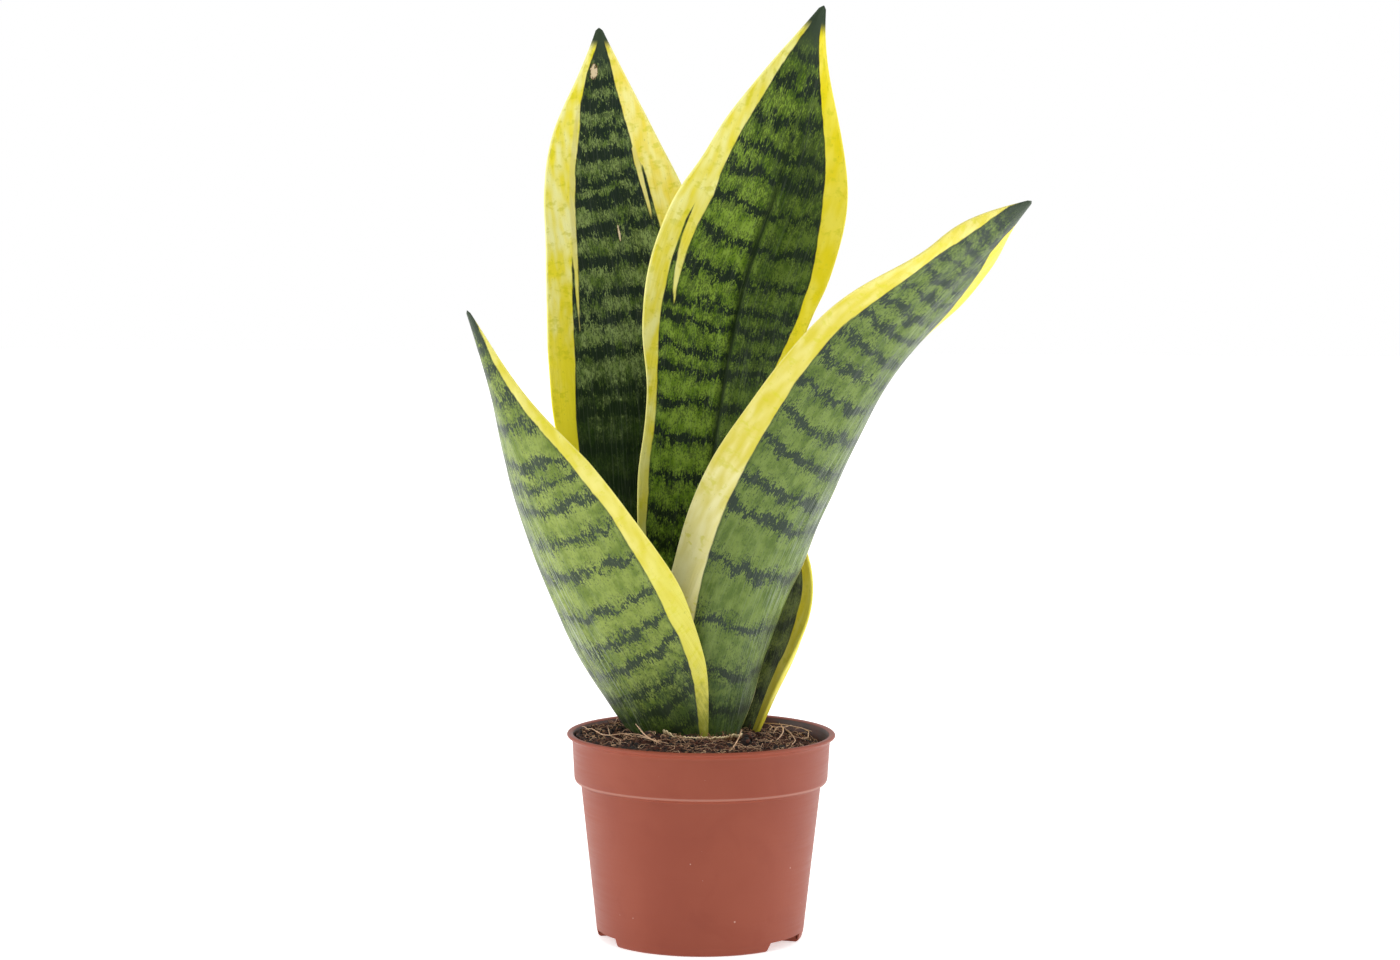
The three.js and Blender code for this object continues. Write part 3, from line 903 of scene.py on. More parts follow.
backLeftLeaf = {
    "piece": "back_left_leaf",
    "replaces": "leaf_back_left",
    "stations": [(-15.5, 23, 76.5, 16, 45, 10), (-21, 31, 130.5, 27.5, 38, 10),
                 (-26, 39, 185, 37.5, 31, 9), (-30, 46, 239.5, 42, 27, 10), (-36, 52, 294, 39, 28, 10),
                 (-46, 57, 349, 28.5, 37, 8), (-48.5, 60, 407, 1, 57, 11)],
    "length": 335,
    "bands": (0.03, 0.09, 0.15, 0.2, 0.26, 0.32, 0.38, 0.43, 0.485, 0.51, 0.565, 0.61, 0.645, 0.69, 0.735,
              0.775, 0.80, 0.835, 0.87, 0.90, 0.93, 0.96),
    "bandWidth": 2.7,
    "sag": -0.5,
    "lean": 0.0,
    "zigzag": 1.6,
    "ragged": 1.8,
    "minusMargin": ((0, 4), (0.3, 9), (0.44, 10.3), (0.51, 12.1), (0.55, 13.1), (0.64, 13.0), (0.7, 13.4),
                    (0.77, 15.0), (0.8, 16.0), (0.84, 14.9), (0.87, 12.5), (0.9, 8.2), (0.94, 4.3),
                    (0.98, 3.0), (1, 0.1)),
    "plusMargin": ((0, 4), (0.3, 10), (0.6, 14), (0.72, 17.0), (0.77, 15.4), (0.81, 13.2), (0.83, 14.2),
                   (0.85, 13.2), (0.88, 10.8), (0.92, 7.5), (0.96, 3.5), (1, 0.1)),
    "streaks": [("minus", (0.595, 16.3, 0.1), (0.63, 15.8, 0.5), (0.67, 15.3, 0.8), (0.71, 15.0, 1.1),
                 (0.75, 15.0, 1.4), (0.80, 14.8, 1.5), (0.85, 12.7, 1.2), (0.9, 7.7, 0.7)),
                ("plus", (0.735, 19.2, 0.1), (0.76, 18.0, 0.7), (0.79, 16.6, 1.0), (0.82, 14.9, 1.1),
                 (0.84, 13.6, 0.9))],
    "wave": 0.6,
    "light": paint(136, 156, 90),
    "lightToo": paint(86, 110, 42),
    "dark": paint(26, 40, 32),
    "low": paint(26, 50, 8),
    "halo": 0.62,
    "flecks": 0.6,
    "contrast": 0.95,
    "veil": 0.05,
    "waxAndSheenAt": (0.0, 3.0),
    "minusYellow": (paint(255, 252, 176), paint(248, 234, 56)),
    "plusYellow": (paint(255, 248, 160), paint(246, 226, 80)),
    "tipGrain": 0.0,
    "footFrom": 0.72,
    "footYellow": paint(246, 230, 40),
    "stripPale": 0.6,
    "footShade": 0.58,
    "shine": 0.1,
    "scars": [(-3.2, 316, 1.7, 3.0), (0.8, 243, 0.45, 3.6)],
    "seed": 12.4,
}
smallRightLeaf = {
    "piece": "small_right_leaf",
    "replaces": "leaf_small_right",
    "stations": [(18.5, 19, 77, 8.5, 70, -54), (28.5, 22, 105, 15.5, 61, -52),
                 (37.5, 25.5, 132, 22, 52, -48), (42.5, 28, 160, 17, 45, -44),
                 (36.5, 30, 193.5, 1, 44, -47)],
    "length": 121,
    "bands": (0.1, 0.25, 0.4, 0.55, 0.7, 0.85),
    "bandWidth": 2.4,
    "sag": 0.0,
    "lean": 0.0,
    "zigzag": 2.4,
    "ragged": 1.6,
    "plusMargin": ((0, 5), (0.12, 9.5), (0.18, 11.2), (0.23, 12.5), (0.29, 14), (0.39, 16.0), (0.6, 15),
                   (0.8, 9), (1, 0.2)),
    "minusMargin": ((0, 2.5), (0.3, 6), (0.6, 7), (0.85, 4), (1, 0.2)),
    "wave": 0.4,
    "light": paint(132, 148, 84),
    "lightToo": paint(98, 114, 60),
    "dark": paint(44, 56, 42),
    "low": paint(40, 56, 22),
    "halo": 0.6,
    "flecks": 0.5,
    "contrast": 0.8,
    "veil": 0.2,
    "waxAndSheenAt": (0.0, 3.0),
    "minusYellow": (paint(248, 238, 110), paint(240, 224, 52)),
    "plusYellow": (paint(248, 238, 110), paint(240, 224, 52)),
    "tipGrain": 0.4,
    "footFrom": 0.3,
    "footYellow": paint(206, 200, 60),
    "footShade": 0.2,
    "shine": 0.15,
    "seed": 16.2,
}


def smoothStations(stations, share):
    # Catmull-Rom through the stations at each share, with mirrored ends
    rows = np.asarray(stations, float)
    place = np.clip(share, 0, 1) * (len(rows) - 1)
    index = np.minimum(np.floor(place).astype(int), len(rows) - 2)
    t = (place - index)[:, None]
    wide = np.vstack([2 * rows[0] - rows[1], rows, 2 * rows[-1] - rows[-2]])
    before, here, after, later = wide[index], wide[index + 1], wide[index + 2], wide[index + 3]
    leaving, arriving = (after - before) / 2, (later - here) / 2
    return ((2 * t ** 3 - 3 * t ** 2 + 1) * here + (t ** 3 - 2 * t ** 2 + t) * leaving
            + (3 * t ** 2 - 2 * t ** 3) * after + (t ** 3 - t ** 2) * arriving)


def smoothRise(value, low, high):
    t = np.clip((value - low) / (high - low), 0, 1)
    return t * t * (3 - 2 * t)


def leafSheet(look, share, side):
    # points of the leaf's middle sheet and the directions to its hollow side, for side from -1 to 1
    stations = look["stations"]
    rows = smoothStations(stations, share)
    step = 0.001
    along = smoothStations(stations, share + step)[:, :3] - smoothStations(stations, share - step)[:, :3]
    along /= np.linalg.norm(along, axis=1)[:, None]
    heading = np.radians(rows[:, 5])
    hollow = np.stack([np.sin(heading), -np.cos(heading), np.zeros_like(heading)], 1)
    hollow -= (hollow * along).sum(1)[:, None] * along
    hollow /= np.linalg.norm(hollow, axis=1)[:, None]
    across = np.cross(along, hollow)
    opening = np.radians(rows[:, 4])
    radius = rows[:, 3] / opening
    angle = opening * side
    point = rows[:, :3] + across * (radius * np.sin(angle))[:, None]
    point = point + hollow * (radius * (1 - np.cos(angle)))[:, None]
    facing = -across * np.sin(angle)[:, None] + hollow * np.cos(angle)[:, None]
    return point, facing, rows[:, 3]


def setNumbers(mesh, numbers):
    for name, values in numbers.items():
        layer = mesh.attributes.new(name, "FLOAT", "POINT")
        layer.data.foreach_set("value", np.asarray(values, np.float32))


def loopVertices(mesh):
    found = np.empty(len(mesh.loops), int)
    mesh.loops.foreach_get("vertex_index", found)
    return found


def marginDepth(look, share, side, width):
    # millimetres inside the yellow margin, or negative outside it
    fromEdge = (1 - np.abs(side)) * width
    minus = np.interp(share, *np.array(look["minusMargin"]).T)
    plus = np.interp(share, *np.array(look["plusMargin"]).T)
    depth = np.where(side < 0, minus, plus) - fromEdge
    strip = np.zeros_like(depth)
    for edge, *points in look.get("streaks", []):
        shares, middles, halves = np.array(points).T
        onSide = (side < 0) if edge == "minus" else (side > 0)
        inside = np.interp(share, shares, halves) - np.abs(fromEdge - np.interp(share, shares, middles))
        ends = np.minimum(share - shares[0], shares[-1] - share) * look["length"]
        inside = np.where(onSide, np.minimum(inside, ends), -9.0)
        strip = np.maximum(strip, np.clip(inside / 0.6 + 0.5, 0, 1))
        depth = np.maximum(depth, inside)
    return depth, fromEdge, strip


def waves(arc, seed, table):
    return sum(height * np.sin(arc / length + turn * seed) for length, height, turn in table)


def leafRelief(look, share, side, width):
    # gentle waves in the edges, fine ribs and shallow lengthwise folds, with the shade that lies in the folds
    arc = share * look["length"]
    seed = look["seed"]
    wide = np.minimum(width / 25, 1)
    onMinus = waves(arc, seed, leafMake["minusWaves"])
    onPlus = waves(arc, seed, leafMake["plusWaves"])
    lift = np.where(side < 0, onMinus, onPlus) * look["wave"] * np.abs(side) ** 5 * wide
    ribs = np.sin(side * width / leafMake["ribWidth"] + np.sin(arc / 40 + seed))
    lift = lift + leafMake["ribHeight"] * ribs * wide * (1 - side ** 4)
    valley = np.zeros(len(share))
    for fold in look.get("folds", []):
        shares, sides, depths = np.array(fold).T
        depth = np.interp(share, shares, depths)
        fromFold = side - np.interp(share, shares, sides)
        near = np.exp(-(fromFold * width / leafMake["foldWidth"]) ** 2)
        lift = lift - depth * near
        valley = np.maximum(valley, near * np.clip(depth / 1.2, 0, 1))
        # the far side of the valley lies in shade
        valley = np.maximum(valley, 0.6 * smoothRise(fromFold, 0, 0.12) * smoothRise(depth, 0, 0.8))
    return lift, valley


def makeLeafMesh(look):
    deselectAll()
    columns = leafMake["columns"]
    rowCount = round(look["length"] / leafMake["rowLength"])
    bpy.ops.mesh.primitive_grid_add(x_subdivisions=columns, y_subdivisions=rowCount, size=2)
    leaf = bpy.context.object
    mesh = leaf.data
    flat = verticesOf(leaf)
    column = np.rint((flat[:, 0] + 1) / 2 * columns).astype(int)
    share = (flat[:, 1] + 1) / 2
    # rows close up towards the tip, which narrows to a rounded awn
    share = share + 0.012 * np.sin(math.pi * share) * share
    width = smoothStations(look["stations"], share)[:, 3]
    toTip = (1 - share) * look["length"]
    toTip = np.clip(toTip / leafMake["tipRounding"], 0, 1)
    rounding = np.sqrt(np.clip(1 - (1 - toTip) ** 2, 0.03, 1))
    # the outermost columns lie close together at the edge, the others evenly between them
    nearEdge = np.minimum(column, columns - column)
    steps = np.array(leafMake["edgeSteps"])
    last = len(steps) - 1
    outermost = nearEdge <= last
    edgeStep = np.minimum(nearEdge, last)
    packed = np.minimum(width / 6, 1)
    inner = steps[-1] * packed + (width - steps[-1] * packed) * (nearEdge - last) / (columns / 2 - last)
    fromEdge = np.where(outermost, steps[edgeStep] * packed, inner)
    side = np.sign(column - columns / 2) * (1 - fromEdge / width)
    point, facing, width = leafSheet(look, share, side)
    middle = leafSheet(look, share, side * 0)[0]
    lift, valley = leafRelief(look, share, side, width)
    point = middle + (point - middle) * rounding[:, None] + facing * lift[:, None]
    moveVertices(leaf, point * mm)
    # numbers that the skin reads
    bands = np.array(look["bands"])
    phase = np.interp(share, bands, range(len(bands)), left=-0.5)
    pitch = np.interp(share, (bands[1:] + bands[:-1]) / 2, np.diff(bands) * look["length"])
    bend = look["sag"] * (1 - side ** 2) + look["lean"] * side
    depth, fromEdge, strip = marginDepth(look, share, side, width)
    waxAndSheenSide, waxAndSheenWidth = look["waxAndSheenAt"]
    setNumbers(mesh, {
        "bandPhase": phase - bend / pitch, "bandPitch": pitch, "marginDepth": depth, "fromEdge": fromEdge,
        "strip": strip, "share": share, "sideways": side, "valley": valley,
        "waxAndSheen": np.exp(-((side - waxAndSheenSide) / waxAndSheenWidth) ** 2)})
    mesh.uv_layers[0].name = "leafMap"
    metric = np.stack([side * width, share * look["length"]], 1) / 100
    flatMap = metric[loopVertices(mesh)].astype(np.float32)
    mesh.uv_layers["leafMap"].uv.foreach_set("vector", flatMap.ravel())
    # thickness: full in the middle, thin at the margins, rounded off at the very edge
    nearTip = smoothRise(share, 0.8, 1)
    full = leafMake["thickness"] + (leafMake["tipThickness"] - leafMake["thickness"]) * nearTip
    thick = full + (leafMake["marginThickness"] - full) * side ** 2
    thick *= np.where(outermost, np.array(leafMake["edgeShares"])[edgeStep], 1) * rounding
    group = leaf.vertex_groups.new(name="thickness")
    for index, weight in enumerate(np.clip(thick / leafMake["thickness"], 0.02, 1)):
        group.add([index], float(weight), "REPLACE")
    sheetVertices = len(mesh.vertices)
    sheetFaces = len(mesh.polygons)
    shell = leaf.modifiers.new("thickness", "SOLIDIFY")
    shell.thickness = leafMake["thickness"] * mm
    shell.offset = 0
    shell.vertex_group = "thickness"
    shell.thickness_vertex_group = 0.0
    applyModifiers(leaf)
    leaf.vertex_groups.clear()
    layBakeMap(leaf.data, sheetVertices, sheetFaces, np.tile(column / columns, 2), np.tile(share, 2))
    onlySelect(leaf)
    bpy.ops.object.shade_smooth()
    return leaf


def layBakeMap(mesh, sheetVertices, sheetFaces, columnShare, share):
    # the two faces of the leaf side by side, with its rim in narrow strips between and below them
    layer = mesh.uv_layers.new(name="OFBake")
    loopVertex = loopVertices(mesh)
    starts = np.empty(len(mesh.polygons), int)
    mesh.polygons.foreach_get("loop_start", starts)
    face = np.searchsorted(starts, np.arange(len(loopVertex)), side="right") - 1
    across = columnShare[loopVertex]
    along = bakeMap["low"] + bakeMap["tall"] * share[loopVertex]
    isSecond = loopVertex >= sheetVertices
    u = across * bakeMap["faceWidth"] + np.where(face < sheetFaces, 0, bakeMap["secondFace"])
    v = along.copy()
    for index in range(2 * sheetFaces, len(mesh.polygons)):
        loops = np.arange(starts[index], starts[index] + 4)
        level = bakeMap["rimWidth"] * isSecond[loops]
        if np.ptp(across[loops]) < 1e-6:
            isLeft = across[loops].mean() < 0.5
            u[loops] = bakeMap["leftRim" if isLeft else "rightRim"] + level
        else:
            isLow = along[loops].mean() < 0.5
            u[loops] = bakeMap["faceWidth"] * across[loops]
            v[loops] = bakeMap["lowRim" if isLow else "topRim"] + level
    layer.uv.foreach_set("vector", np.stack([u, v], 1).astype(np.float32).ravel())
    layer.active_render = False
    mesh.uv_layers["leafMap"].active_render = True


def leafFinish(look):
    material, tree, shader = newMaterial(look["piece"] + "_skin")
    leafMap = put(tree, "ShaderNodeUVMap", uv_map="leafMap").outputs[0]
    place = vectorSums(tree, "MULTIPLY", leafMap, (100, 100, 100))

    def number(name):
        return put(tree, "ShaderNodeAttribute", attribute_name=name).outputs["Fac"]

    def streak(name):
        across, along, offset, detail = leafGrain[name]
        return useGroup(tree, streaksGroup, {"Map": place, "Across": across, "Along": along,
                                             "Seed": look["seed"] + offset, "Detail": detail})[0]

    share = number("share")
    depth = number("marginDepth")
    waxAndSheen = number("waxAndSheen")
    # more dark grain towards the tip, the foot and the turned side of the blade
    footShade = look["footShade"]
    dense = times(tree, ramp(tree, share, 0.72, 0.93), look["tipGrain"])
    dense = plus(tree, dense, ramp(tree, share, footShade + 0.04, footShade - 0.14, 0, 0.5))
    dense = timesPlus(tree, waxAndSheen, 0.8, dense)
    dense = timesPlus(tree, streak("patches"), 0.35, plus(tree, dense, 0.25))
    bands = useGroup(tree, bandsGroup, {
        "Map": place, "Phase": number("bandPhase"), "Pitch": number("bandPitch"), "Width": look["bandWidth"],
        "Zigzag": look["zigzag"], "Ragged": look["ragged"], "Dense": dense, "Seed": look["seed"]})
    # green blade: two greens in soft clouds, dark grain, ragged dark bands and a grey veil in fine streaks,
    # partly the leaf's waxy bloom and partly a painted sheen where the blade turns away
    # the blade and its bands darken towards the foot: partly the leaf's own deeper mottled green, partly
    # painted shade from the leaves around it
    towardsFoot = ramp(tree, share, footShade + 0.05, footShade - 0.1, 0, 0.85)
    dark = mixColour(tree, towardsFoot, look["dark"], leafMake["footDark"])
    blotched = timesPlus(tree, streak("lowBlotches"), 0.09, share)
    veil = times(tree, ramp(tree, streak("veil"), 0.0, 0.6), look["veil"])
    veil = times(tree, veil, ramp(tree, share, 0.1, 0.3, 0.35, 1.0))
    blade = layered(
        tree, look["light"],
        (ramp(tree, streak("clouds"), -0.5, 0.7), look["lightToo"]),
        (ramp(tree, blotched, footShade, footShade - 0.14, 0, 0.85), look["low"]),
        (times(tree, bands["Halo"], look["halo"]), dark),
        (times(tree, bands["Flecks"], look["flecks"]), dark),
        (times(tree, bands["Mask"], look["contrast"]), dark),
        (times(tree, number("valley"), 0.95), leafMake["footDark"]),
        (times(tree, veil, plus(tree, waxAndSheen, 0.06), clamp=True), leafMake["waxAndSheenColour"]),
        (ramp(tree, share, 0.93, 0.98), leafMake["tipColour"]),
        # thin dark line beside the margin
        (ramp(tree, depth, -1.5, -0.2, 0, 0.45), look["dark"]))
    # yellow margin: paler and deeper clouds, green-yellow smudges where the bands run out, olive at the foot
    onPlus = ramp(tree, number("sideways"), -0.1, 0.1)
    pale = mixColour(tree, onPlus, look["minusYellow"][0], look["plusYellow"][0])
    deep = mixColour(tree, onPlus, look["minusYellow"][1], look["plusYellow"][1])
    drift = timesPlus(tree, streak("yellowDrift"), 0.06, share)
    foot = ramp(tree, drift, look["footFrom"], look["footFrom"] - 0.25)
    pale = mixColour(tree, foot, pale, look["footYellow"])
    smudge = times(tree, bands["Near"], ramp(tree, streak("smudges"), 0.0, 0.6))
    fromFoot = timesPlus(tree, streak("footSpots"), 0.04, share)
    yellow = layered(
        tree, pale,
        (ramp(tree, streak("yellowClouds"), -1.0, 0.8), deep),
        (times(tree, foot, 0.6), look["footYellow"]),
        (times(tree, smudge, 0.5), leafMake["smudge"]),
        (ramp(tree, streak("oliveSpots"), 0.6, 1.0, 0, 0.25), leafMake["olive"]),
        (ramp(tree, number("fromEdge"), 0.9, 0.3, 0, 0.6), pale),
        (times(tree, number("strip"), look.get("stripPale", 0.0)), leafMake["stripColour"]),
        (ramp(tree, fromFoot, 0.16, 0.02, 0, 0.9), leafMake["olive"]))
    wobbly = plus(tree, depth, times(tree, streak("marginWobble"), 0.3))
    colour = layered(
        tree, blade,
        (ramp(tree, wobbly, -0.3, 0.3), yellow),
        (ramp(tree, share, 0.97, 0.985), leafMake["tipColour"]))
    # small dry scars, given as (across, along, half width, half length) in millimetres
    for across, along, wide, long in look.get("scars", []):
        offset = vectorSums(tree, "SUBTRACT", place, (across, along, 0))
        reach = lengthOf(tree, vectorSums(tree, "DIVIDE", offset, (wide, long, 1)))
        reach = timesPlus(tree, streak("scarOutline"), 0.5, reach)
        colour = layered(tree, colour, (ramp(tree, reach, 1.3, 1.05, 0, 0.6), leafMake["scarEdge"]),
                         (ramp(tree, reach, 1.0, 0.8), leafMake["scarColour"]))
    ridges = plus(tree, times(tree, streak("ridges"), 0.5), streak("ribs"))
    ridges = timesPlus(tree, streak("pores"), 0.3, ridges)
    rough = ramp(tree, streak("gloss"), -1.2, 1.2, *leafMake["roughness"])
    finishSkin(tree, shader, colour, rough, bumpOf(tree, ridges, 0.4, 0.00025), look["shine"])
    return material


def makeLeaf(look):
    leaf = makeLeafMesh(look)
    finishPiece(leaf, look["piece"], leafFinish(look), "leaf", look["replaces"])
    print("stage:", look["piece"], "grown")


leaves = [frontLeftLeaf, frontRightLeaf, backRightLeaf, backLeftLeaf, smallRightLeaf]
for look in leaves:
    makeLeaf(look)


# crumbs, lumps and dry roots on the soil

def leafFeet():
    # points of all leaves near the soil surface, in millimetres
    found = []
    side = np.linspace(-1, 1, 61)
    for look in leaves:
        for share in np.linspace(0, 0.2, 41):
            found.append(leafSheet(look, np.full(len(side), share), side)[0])
    return np.vstack(found)


feetPoints = leafFeet()


def clearOfLeaves(x, y, z, gap):
    away = feetPoints - np.array((x, y, z))
    return (away ** 2).sum(1).min() > gap ** 2


def crumbModel(subdivisions, jitter):
    deselectAll()
    bpy.ops.mesh.primitive_ico_sphere_add(subdivisions=subdivisions, radius=1)
    crumb = bpy.context.object
    for vertex in crumb.data.vertices:
        vertex.co *= 1 + shakes.uniform(-jitter, jitter)
    return crumb


def scatterCopies(name, model, places, material):
    # each copy has its own mesh; all are joined into one piece
    copies = []
    for place, turn, size in places:
        copy = model.copy()
        copy.data = model.data.copy()
        bpy.context.scene.collection.objects.link(copy)
        stretch = Matrix.Diagonal((*(Vector(size) * mm), 1))
        copy.data.transform(Matrix.Translation(Vector(place) * mm) @ turn.to_matrix().to_4x4() @ stretch)
        copies.append(copy)
    bpy.data.objects.remove(model, do_unlink=True)
    onlySelect(*copies)
    bpy.ops.object.join()
    finishPiece(bpy.context.object, name, material, "potting_mix")


def randomTurn():
    x, y, z = [shakes.uniform(-1, 1) for _ in range(3)]
    return Vector((x, y, z)).to_track_quat("Z", "Y")


def randomPlace(reach, share):
    radius = reach * math.sqrt(share)
    angle = shakes.uniform(0, 2 * math.pi)
    return radius * math.cos(angle), radius * math.sin(angle)


def crumbPlaces(count, sizes, reach):
    smallest, largest = sizes
    places = []
    while len(places) < count:
        x, y = randomPlace(reach, shakes.random())
        size = smallest + (largest - smallest) * shakes.random() ** 2.2
        z = soilHeight(x, y) + roughness(x, y) + size * 0.15
        shape = [size * shakes.uniform(low, high) for low, high in ((0.7, 1.4), (0.7, 1.2), (0.5, 0.9))]
        turn = randomTurn()
        if clearOfLeaves(x, y, z, size + 2.0):
            places.append(((x, y, z), turn, shape))
    return places


def makeCrumbs():
    material = soilFinish()
    material.name = "peat_crumbs"
    crumb = crumbModel(1, 0.3)
    places = crumbPlaces(soil["crumbs"], soil["crumbSizes"], soil["crumbReach"])
    scatterCopies("peat_crumbs", crumb, places, material)
    places = crumbPlaces(soil["lumps"], soil["lumpSizes"], soil["lumpReach"])
    for x, y, z, size in soil["laidLumps"]:
        places.append(((x, y, z), randomTurn(), (size, size * 0.8, size * 0.7)))
    scatterCopies("peat_lumps", crumbModel(2, 0.16), places, material)


def strandPoints(start, heading, length, lift):
    # a curly path that stays on the soil
    points = []
    x, y = start
    steps = 11
    curl = soil["fibreCurl"]
    reach = soil["fibreReach"]
    spin = shakes.uniform(-curl, curl)
    base = shakes.uniform(0, 6)
    for i in range(steps):
        t = i / (steps - 1)
        arch = lift * math.sin(math.pi * t) * (0.6 + 0.4 * math.sin(5 * t + base))
        points.append((x, y, soilHeight(x, y) + roughness(x, y) + 0.3 + arch))
        spin += shakes.uniform(-curl, curl)
        heading += spin
        x += math.cos(heading) * length / steps
        y += math.sin(heading) * length / steps
        far = math.hypot(x, y)
        if far > reach:
            x, y = x * reach / far, y * reach / far
            heading += 1.2
    return points


def tubePiece(name, strands, material, slot):
    # strands are (points, thickness at the middle) in millimetres
    curve = bpy.data.curves.new(name, "CURVE")
    curve.dimensions = "3D"
    curve.bevel_depth = 1 * mm
    curve.bevel_resolution = 0
    curve.resolution_u = 2
    curve.use_fill_caps = True
    for points, thickness in strands:
        # few points are joined by a smooth curve, many by straight steps
        isSmooth = len(points) < 8
        spline = curve.splines.new("BEZIER" if isSmooth else "POLY")
        knots = spline.bezier_points if isSmooth else spline.points
        knots.add(len(points) - 1)
        for i, (knot, point) in enumerate(zip(knots, points)):
            t = min(max(i / (len(points) - 1), 0.06), 0.94)
            knot.radius = thickness * (0.35 + 0.65 * math.sin(math.pi * t))
            place = Vector(point) * mm
            if isSmooth:
                knot.co = place
                knot.handle_left_type = knot.handle_right_type = "AUTO"
            else:
                knot.co = (*place, 1)
    tube = bpy.data.objects.new(name, curve)
    bpy.context.scene.collection.objects.link(tube)
    onlySelect(tube)
    bpy.ops.object.convert(target="MESH")
    bpy.ops.object.shade_smooth()
    finishPiece(bpy.context.object, name, material, slot)


# the longest roots: points as (x, y, height above the soil), and thickness
longRoots = [
    ([(-51.5, -6, 1.0), (-48.4, -11, 1.6), (-44.6, -19, 1.4), (-40, -25, 1.7), (-34, -25, 2.0),
     (-30, -31, 1.0)],
     0.42),
    ([(-41.5, -9, 2.2), (-40.8, -15, 1.5), (-39.2, -27, 1.4), (-35, -36, 0.8)], 0.32),
    ([(-53.5, 6, 1.2), (-52.2, -1, 1.8), (-49.5, -12, 1.0)], 0.3),
    ([(-33.6, -19, 1.2), (-26.8, -30, 1.4), (-20.1, -40, 1.0), (-14, -44, 0.6)], 0.36),
    ([(-30, -27, 0.8), (-22.2, -40, 1.6), (-17.4, -47, 1.0)], 0.3),
    ([(-29, -16, 4.5), (-27, -24, 3.2), (-24, -34, 1.6), (-19, -42, 0.6)], 0.55),
    ([(41.1, 30, 2.6), (37.7, 21, 2.2), (34.3, 12, 2.6), (32.2, 2, 1.0)], 0.4),
    ([(35.5, 24, 3.4), (36.8, 7, 3.0), (35.4, -10, 2.2), (33, -20, 1.0)], 0.5),
    ([(37.9, 14, 2.4), (39.4, 2, 2.6), (41.8, -12, 1.2), (40, -22, 0.6)], 0.45),
    ([(30.6, 27, 2.2), (32.1, 16, 1.8), (30.1, 6, 1.0)], 0.3),
    ([(42.4, 15, 3.2), (45.4, 17, 4.0), (48, 5, 2.2), (44.6, -6, 1.4), (39, -4, 2.2)], 0.32),
    ([(28, 16, 2.8), (36, 12, 4.2), (45, 13, 4.4), (50, 17, 3.4)], 0.4),
    ([(17.9, -22, 5.0), (16.4, -33, 3.2), (14.6, -43, 1.4), (12.9, -50, 0.4)], 0.42),
]


def looseStrands(count, thickness):
    strands = []
    while len(strands) < count:
        start = randomPlace(soil["fibreSpread"], shakes.uniform(0.06, 1))
        length = shakes.uniform(*soil["fibreLengths"])
        lift = soil["fibreLift"] * shakes.random() ** 2
        points = strandPoints(start, shakes.uniform(0, 2 * math.pi), length, lift)
        if all(clearOfLeaves(*point, 2.2) for point in points):
            strands.append((points, shakes.uniform(*thickness)))
    return strands


def makeRoots():
    strands = []
    for points, thickness in longRoots:
        path = [(x, y, soilHeight(x, y) + up + 0.9) for x, y, up in points]
        strands.append((path, thickness * soil["rootThinning"]))
    strands += looseStrands(soil["paleFibres"], soil["paleThickness"])
    tubePiece("pale_roots", strands, fibreFinish("pale_roots", soil["rootColour"]), "rhizome")
    strands = looseStrands(soil["looseFibres"], soil["looseThickness"])
    tubePiece("brown_roots", strands, fibreFinish("brown_roots", soil["fibreDark"]), "rhizome")


makeCrumbs()
makeRoots()
print("stage: crumbs and roots laid")


# dry sheath round the leaf bases

sheath = {
    "centre": (-3, 1.5),
    "lowRadius": 24.6,
    "topRadius": 29.4,
    "low": 84.0,
    "top": 93.6,
    "from": -118,
    "to": -44,
    "steps": (150, 14),
    "thickness": 0.45,
    "fibres": 80,
    "fibreFoot": 91.8,
    "fibreThickness": (0.12, 0.24),
    "colour": paint(186, 136, 88),
    "edgeColour": paint(255, 234, 184),
    "darkColour": paint(104, 64, 36),
}


def sheathFinish():
    material, tree, shader = newMaterial("papery_sheath")
    sheathMap = put(tree, "ShaderNodeUVMap", uv_map="sheathMap").outputs[0]
    grown = put(tree, "ShaderNodeMapping", {"Vector": sheathMap, "Scale": (90, 5, 1)}).outputs[0]
    fibres = cloud(tree, grown, 1.0, 4.0)
    blot = cloud(tree, sheathMap, 7.0, 3.0)
    colour = layered(
        tree, sheath["colour"],
        (ramp(tree, fibres, 0.35, 0.65), sheath["darkColour"]),
        (ramp(tree, blot, 0.45, 0.7, 0, 0.6), sheath["edgeColour"]),
        (ramp(tree, axisOf(tree, sheathMap, 1), 0.84, 0.95), sheath["edgeColour"]))
    rough = ramp(tree, fibres, 0.3, 0.7, 0.55, 0.85)
    finishSkin(tree, shader, colour, rough, bumpOf(tree, fibres, 0.6, 0.0004))
    return material


def sheathPlace(t, radius):
    # where a share t of the way round the sheath lies, at this radius
    angle = np.radians(sheath["from"] + (sheath["to"] - sheath["from"]) * t)
    x, y = sheath["centre"]
    return x + radius * np.cos(angle), y + radius * np.sin(angle)


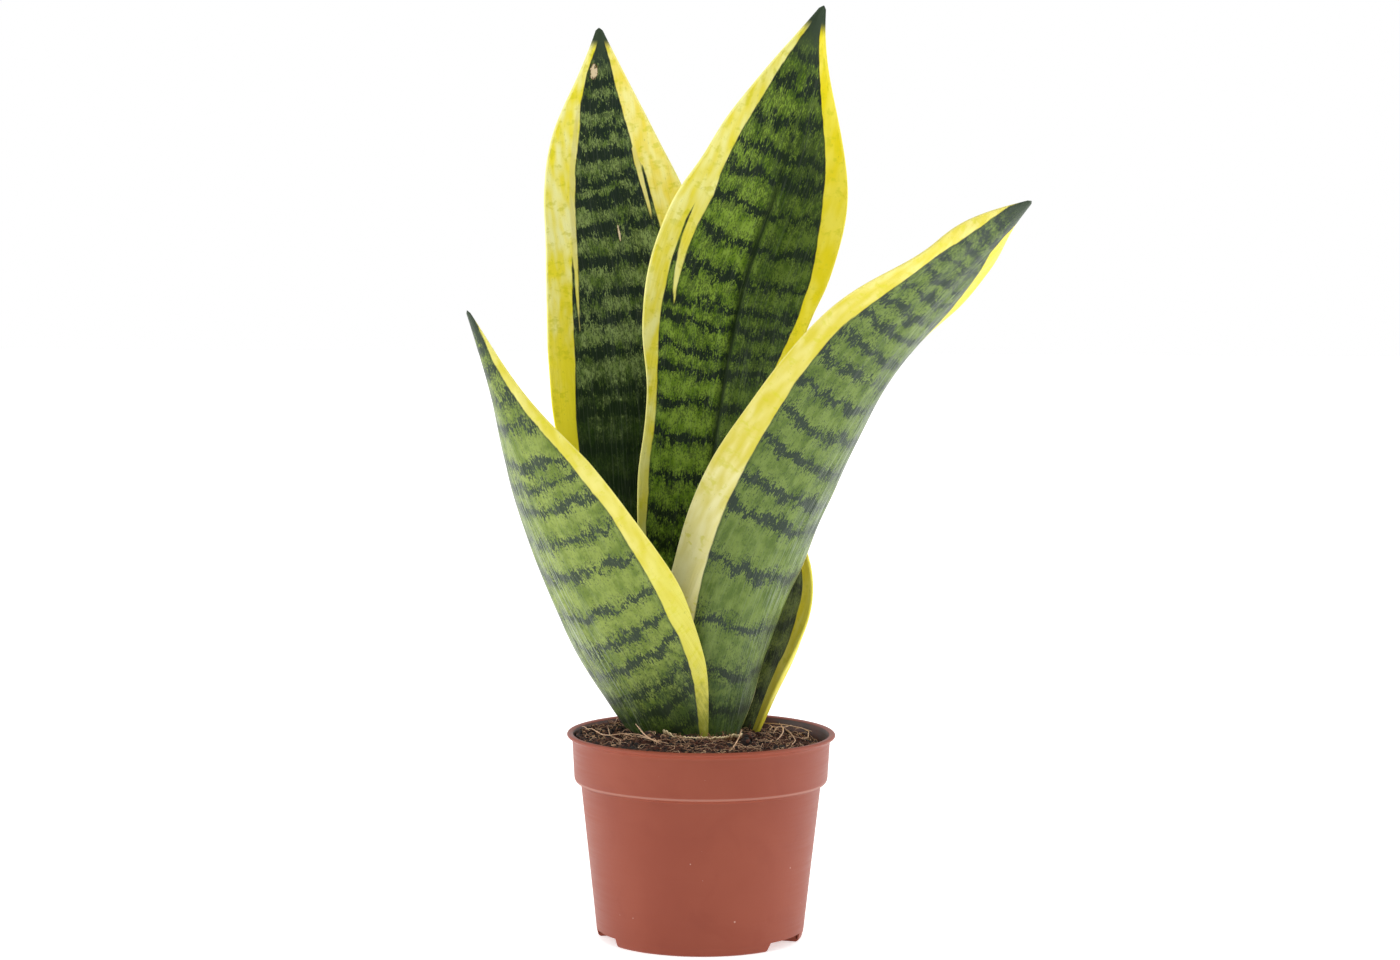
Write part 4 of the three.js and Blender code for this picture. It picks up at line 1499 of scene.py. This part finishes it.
def makeSheath():
    deselectAll()
    steps = sheath["steps"]
    bpy.ops.mesh.primitive_grid_add(x_subdivisions=steps[0], y_subdivisions=steps[1], size=2)
    piece = bpy.context.object
    flat = verticesOf(piece)
    t = (flat[:, 0] + 1) / 2
    up = (flat[:, 1] + 1) / 2
    # small tears all along, and a higher flap at each end
    torn = 0.35 * np.sin(9 * t) * np.sin(23 * t + 1) + 0.5 * np.abs(np.sin(61 * t + 2 * np.sin(17 * t))) ** 3
    torn = torn + 2.8 * np.exp(-(t / 0.12) ** 2) + 0.8 * np.exp(-((1 - t) / 0.1) ** 2)
    z = sheath["low"] + (sheath["top"] + torn - sheath["low"]) * up
    radius = sheath["lowRadius"] + (sheath["topRadius"] - sheath["lowRadius"]) * up ** 1.6
    radius = radius + up * (0.5 * np.sin(21 * t) + 0.3 * np.sin(47 * t + 1))
    moveVertices(piece, np.stack([*sheathPlace(t, radius), z], 1) * mm)
    piece.data.uv_layers[0].name = "sheathMap"
    shell = piece.modifiers.new("thickness", "SOLIDIFY")
    shell.thickness = sheath["thickness"] * mm
    shell.offset = 0
    applyModifiers(piece)
    onlySelect(piece)
    bpy.ops.object.shade_smooth_by_angle(angle=math.radians(60))
    material = sheathFinish()
    finishPiece(piece, "torn_sheath", material, "dry_sheath", "dry_sheath")
    # loose fibres that stand along its torn edge
    strands = []
    for _ in range(sheath["fibres"]):
        t = shakes.uniform(0.02, 0.98)
        x, y = sheathPlace(t, sheath["topRadius"] - shakes.uniform(0.3, 2.2))
        high = 0.4 + 4.2 * shakes.random() ** 2
        tilt = Vector((shakes.uniform(-2.4, 2.4), shakes.uniform(-2.5, 0.9), high))
        foot = Vector((x, y, sheath["fibreFoot"]))
        middle = foot + tilt * 0.5 + Vector((shakes.uniform(-0.4, 0.4), 0, 0))
        strands.append(([foot, middle, foot + tilt], shakes.uniform(*sheath["fibreThickness"])))
    tubePiece("sheath_fibres", strands, material, "dry_sheath")


makeSheath()
print("stage: sheath torn")


# the rhizome's crown stays as it is, inside the soil

crownLook = {"colour": paint(186, 146, 82), "dark": paint(132, 92, 48)}


def crownFinish():
    material, tree, shader = newMaterial("rhizome_skin")
    rings = cloud(tree, objectPlace(tree), 160.0, 4.0, Distortion=0.6)
    colour = mixColour(tree, ramp(tree, rings, 0.4, 0.6), crownLook["colour"], crownLook["dark"])
    rough = ramp(tree, rings, 0.3, 0.7, 0.6, 0.85)
    finishSkin(tree, shader, colour, rough, bumpOf(tree, rings, 0.5, 0.0006))
    return material


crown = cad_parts["rhizome_crown"]
crown.data.materials.clear()
crown.data.materials.append(crownFinish())

print("stage: plant finished")
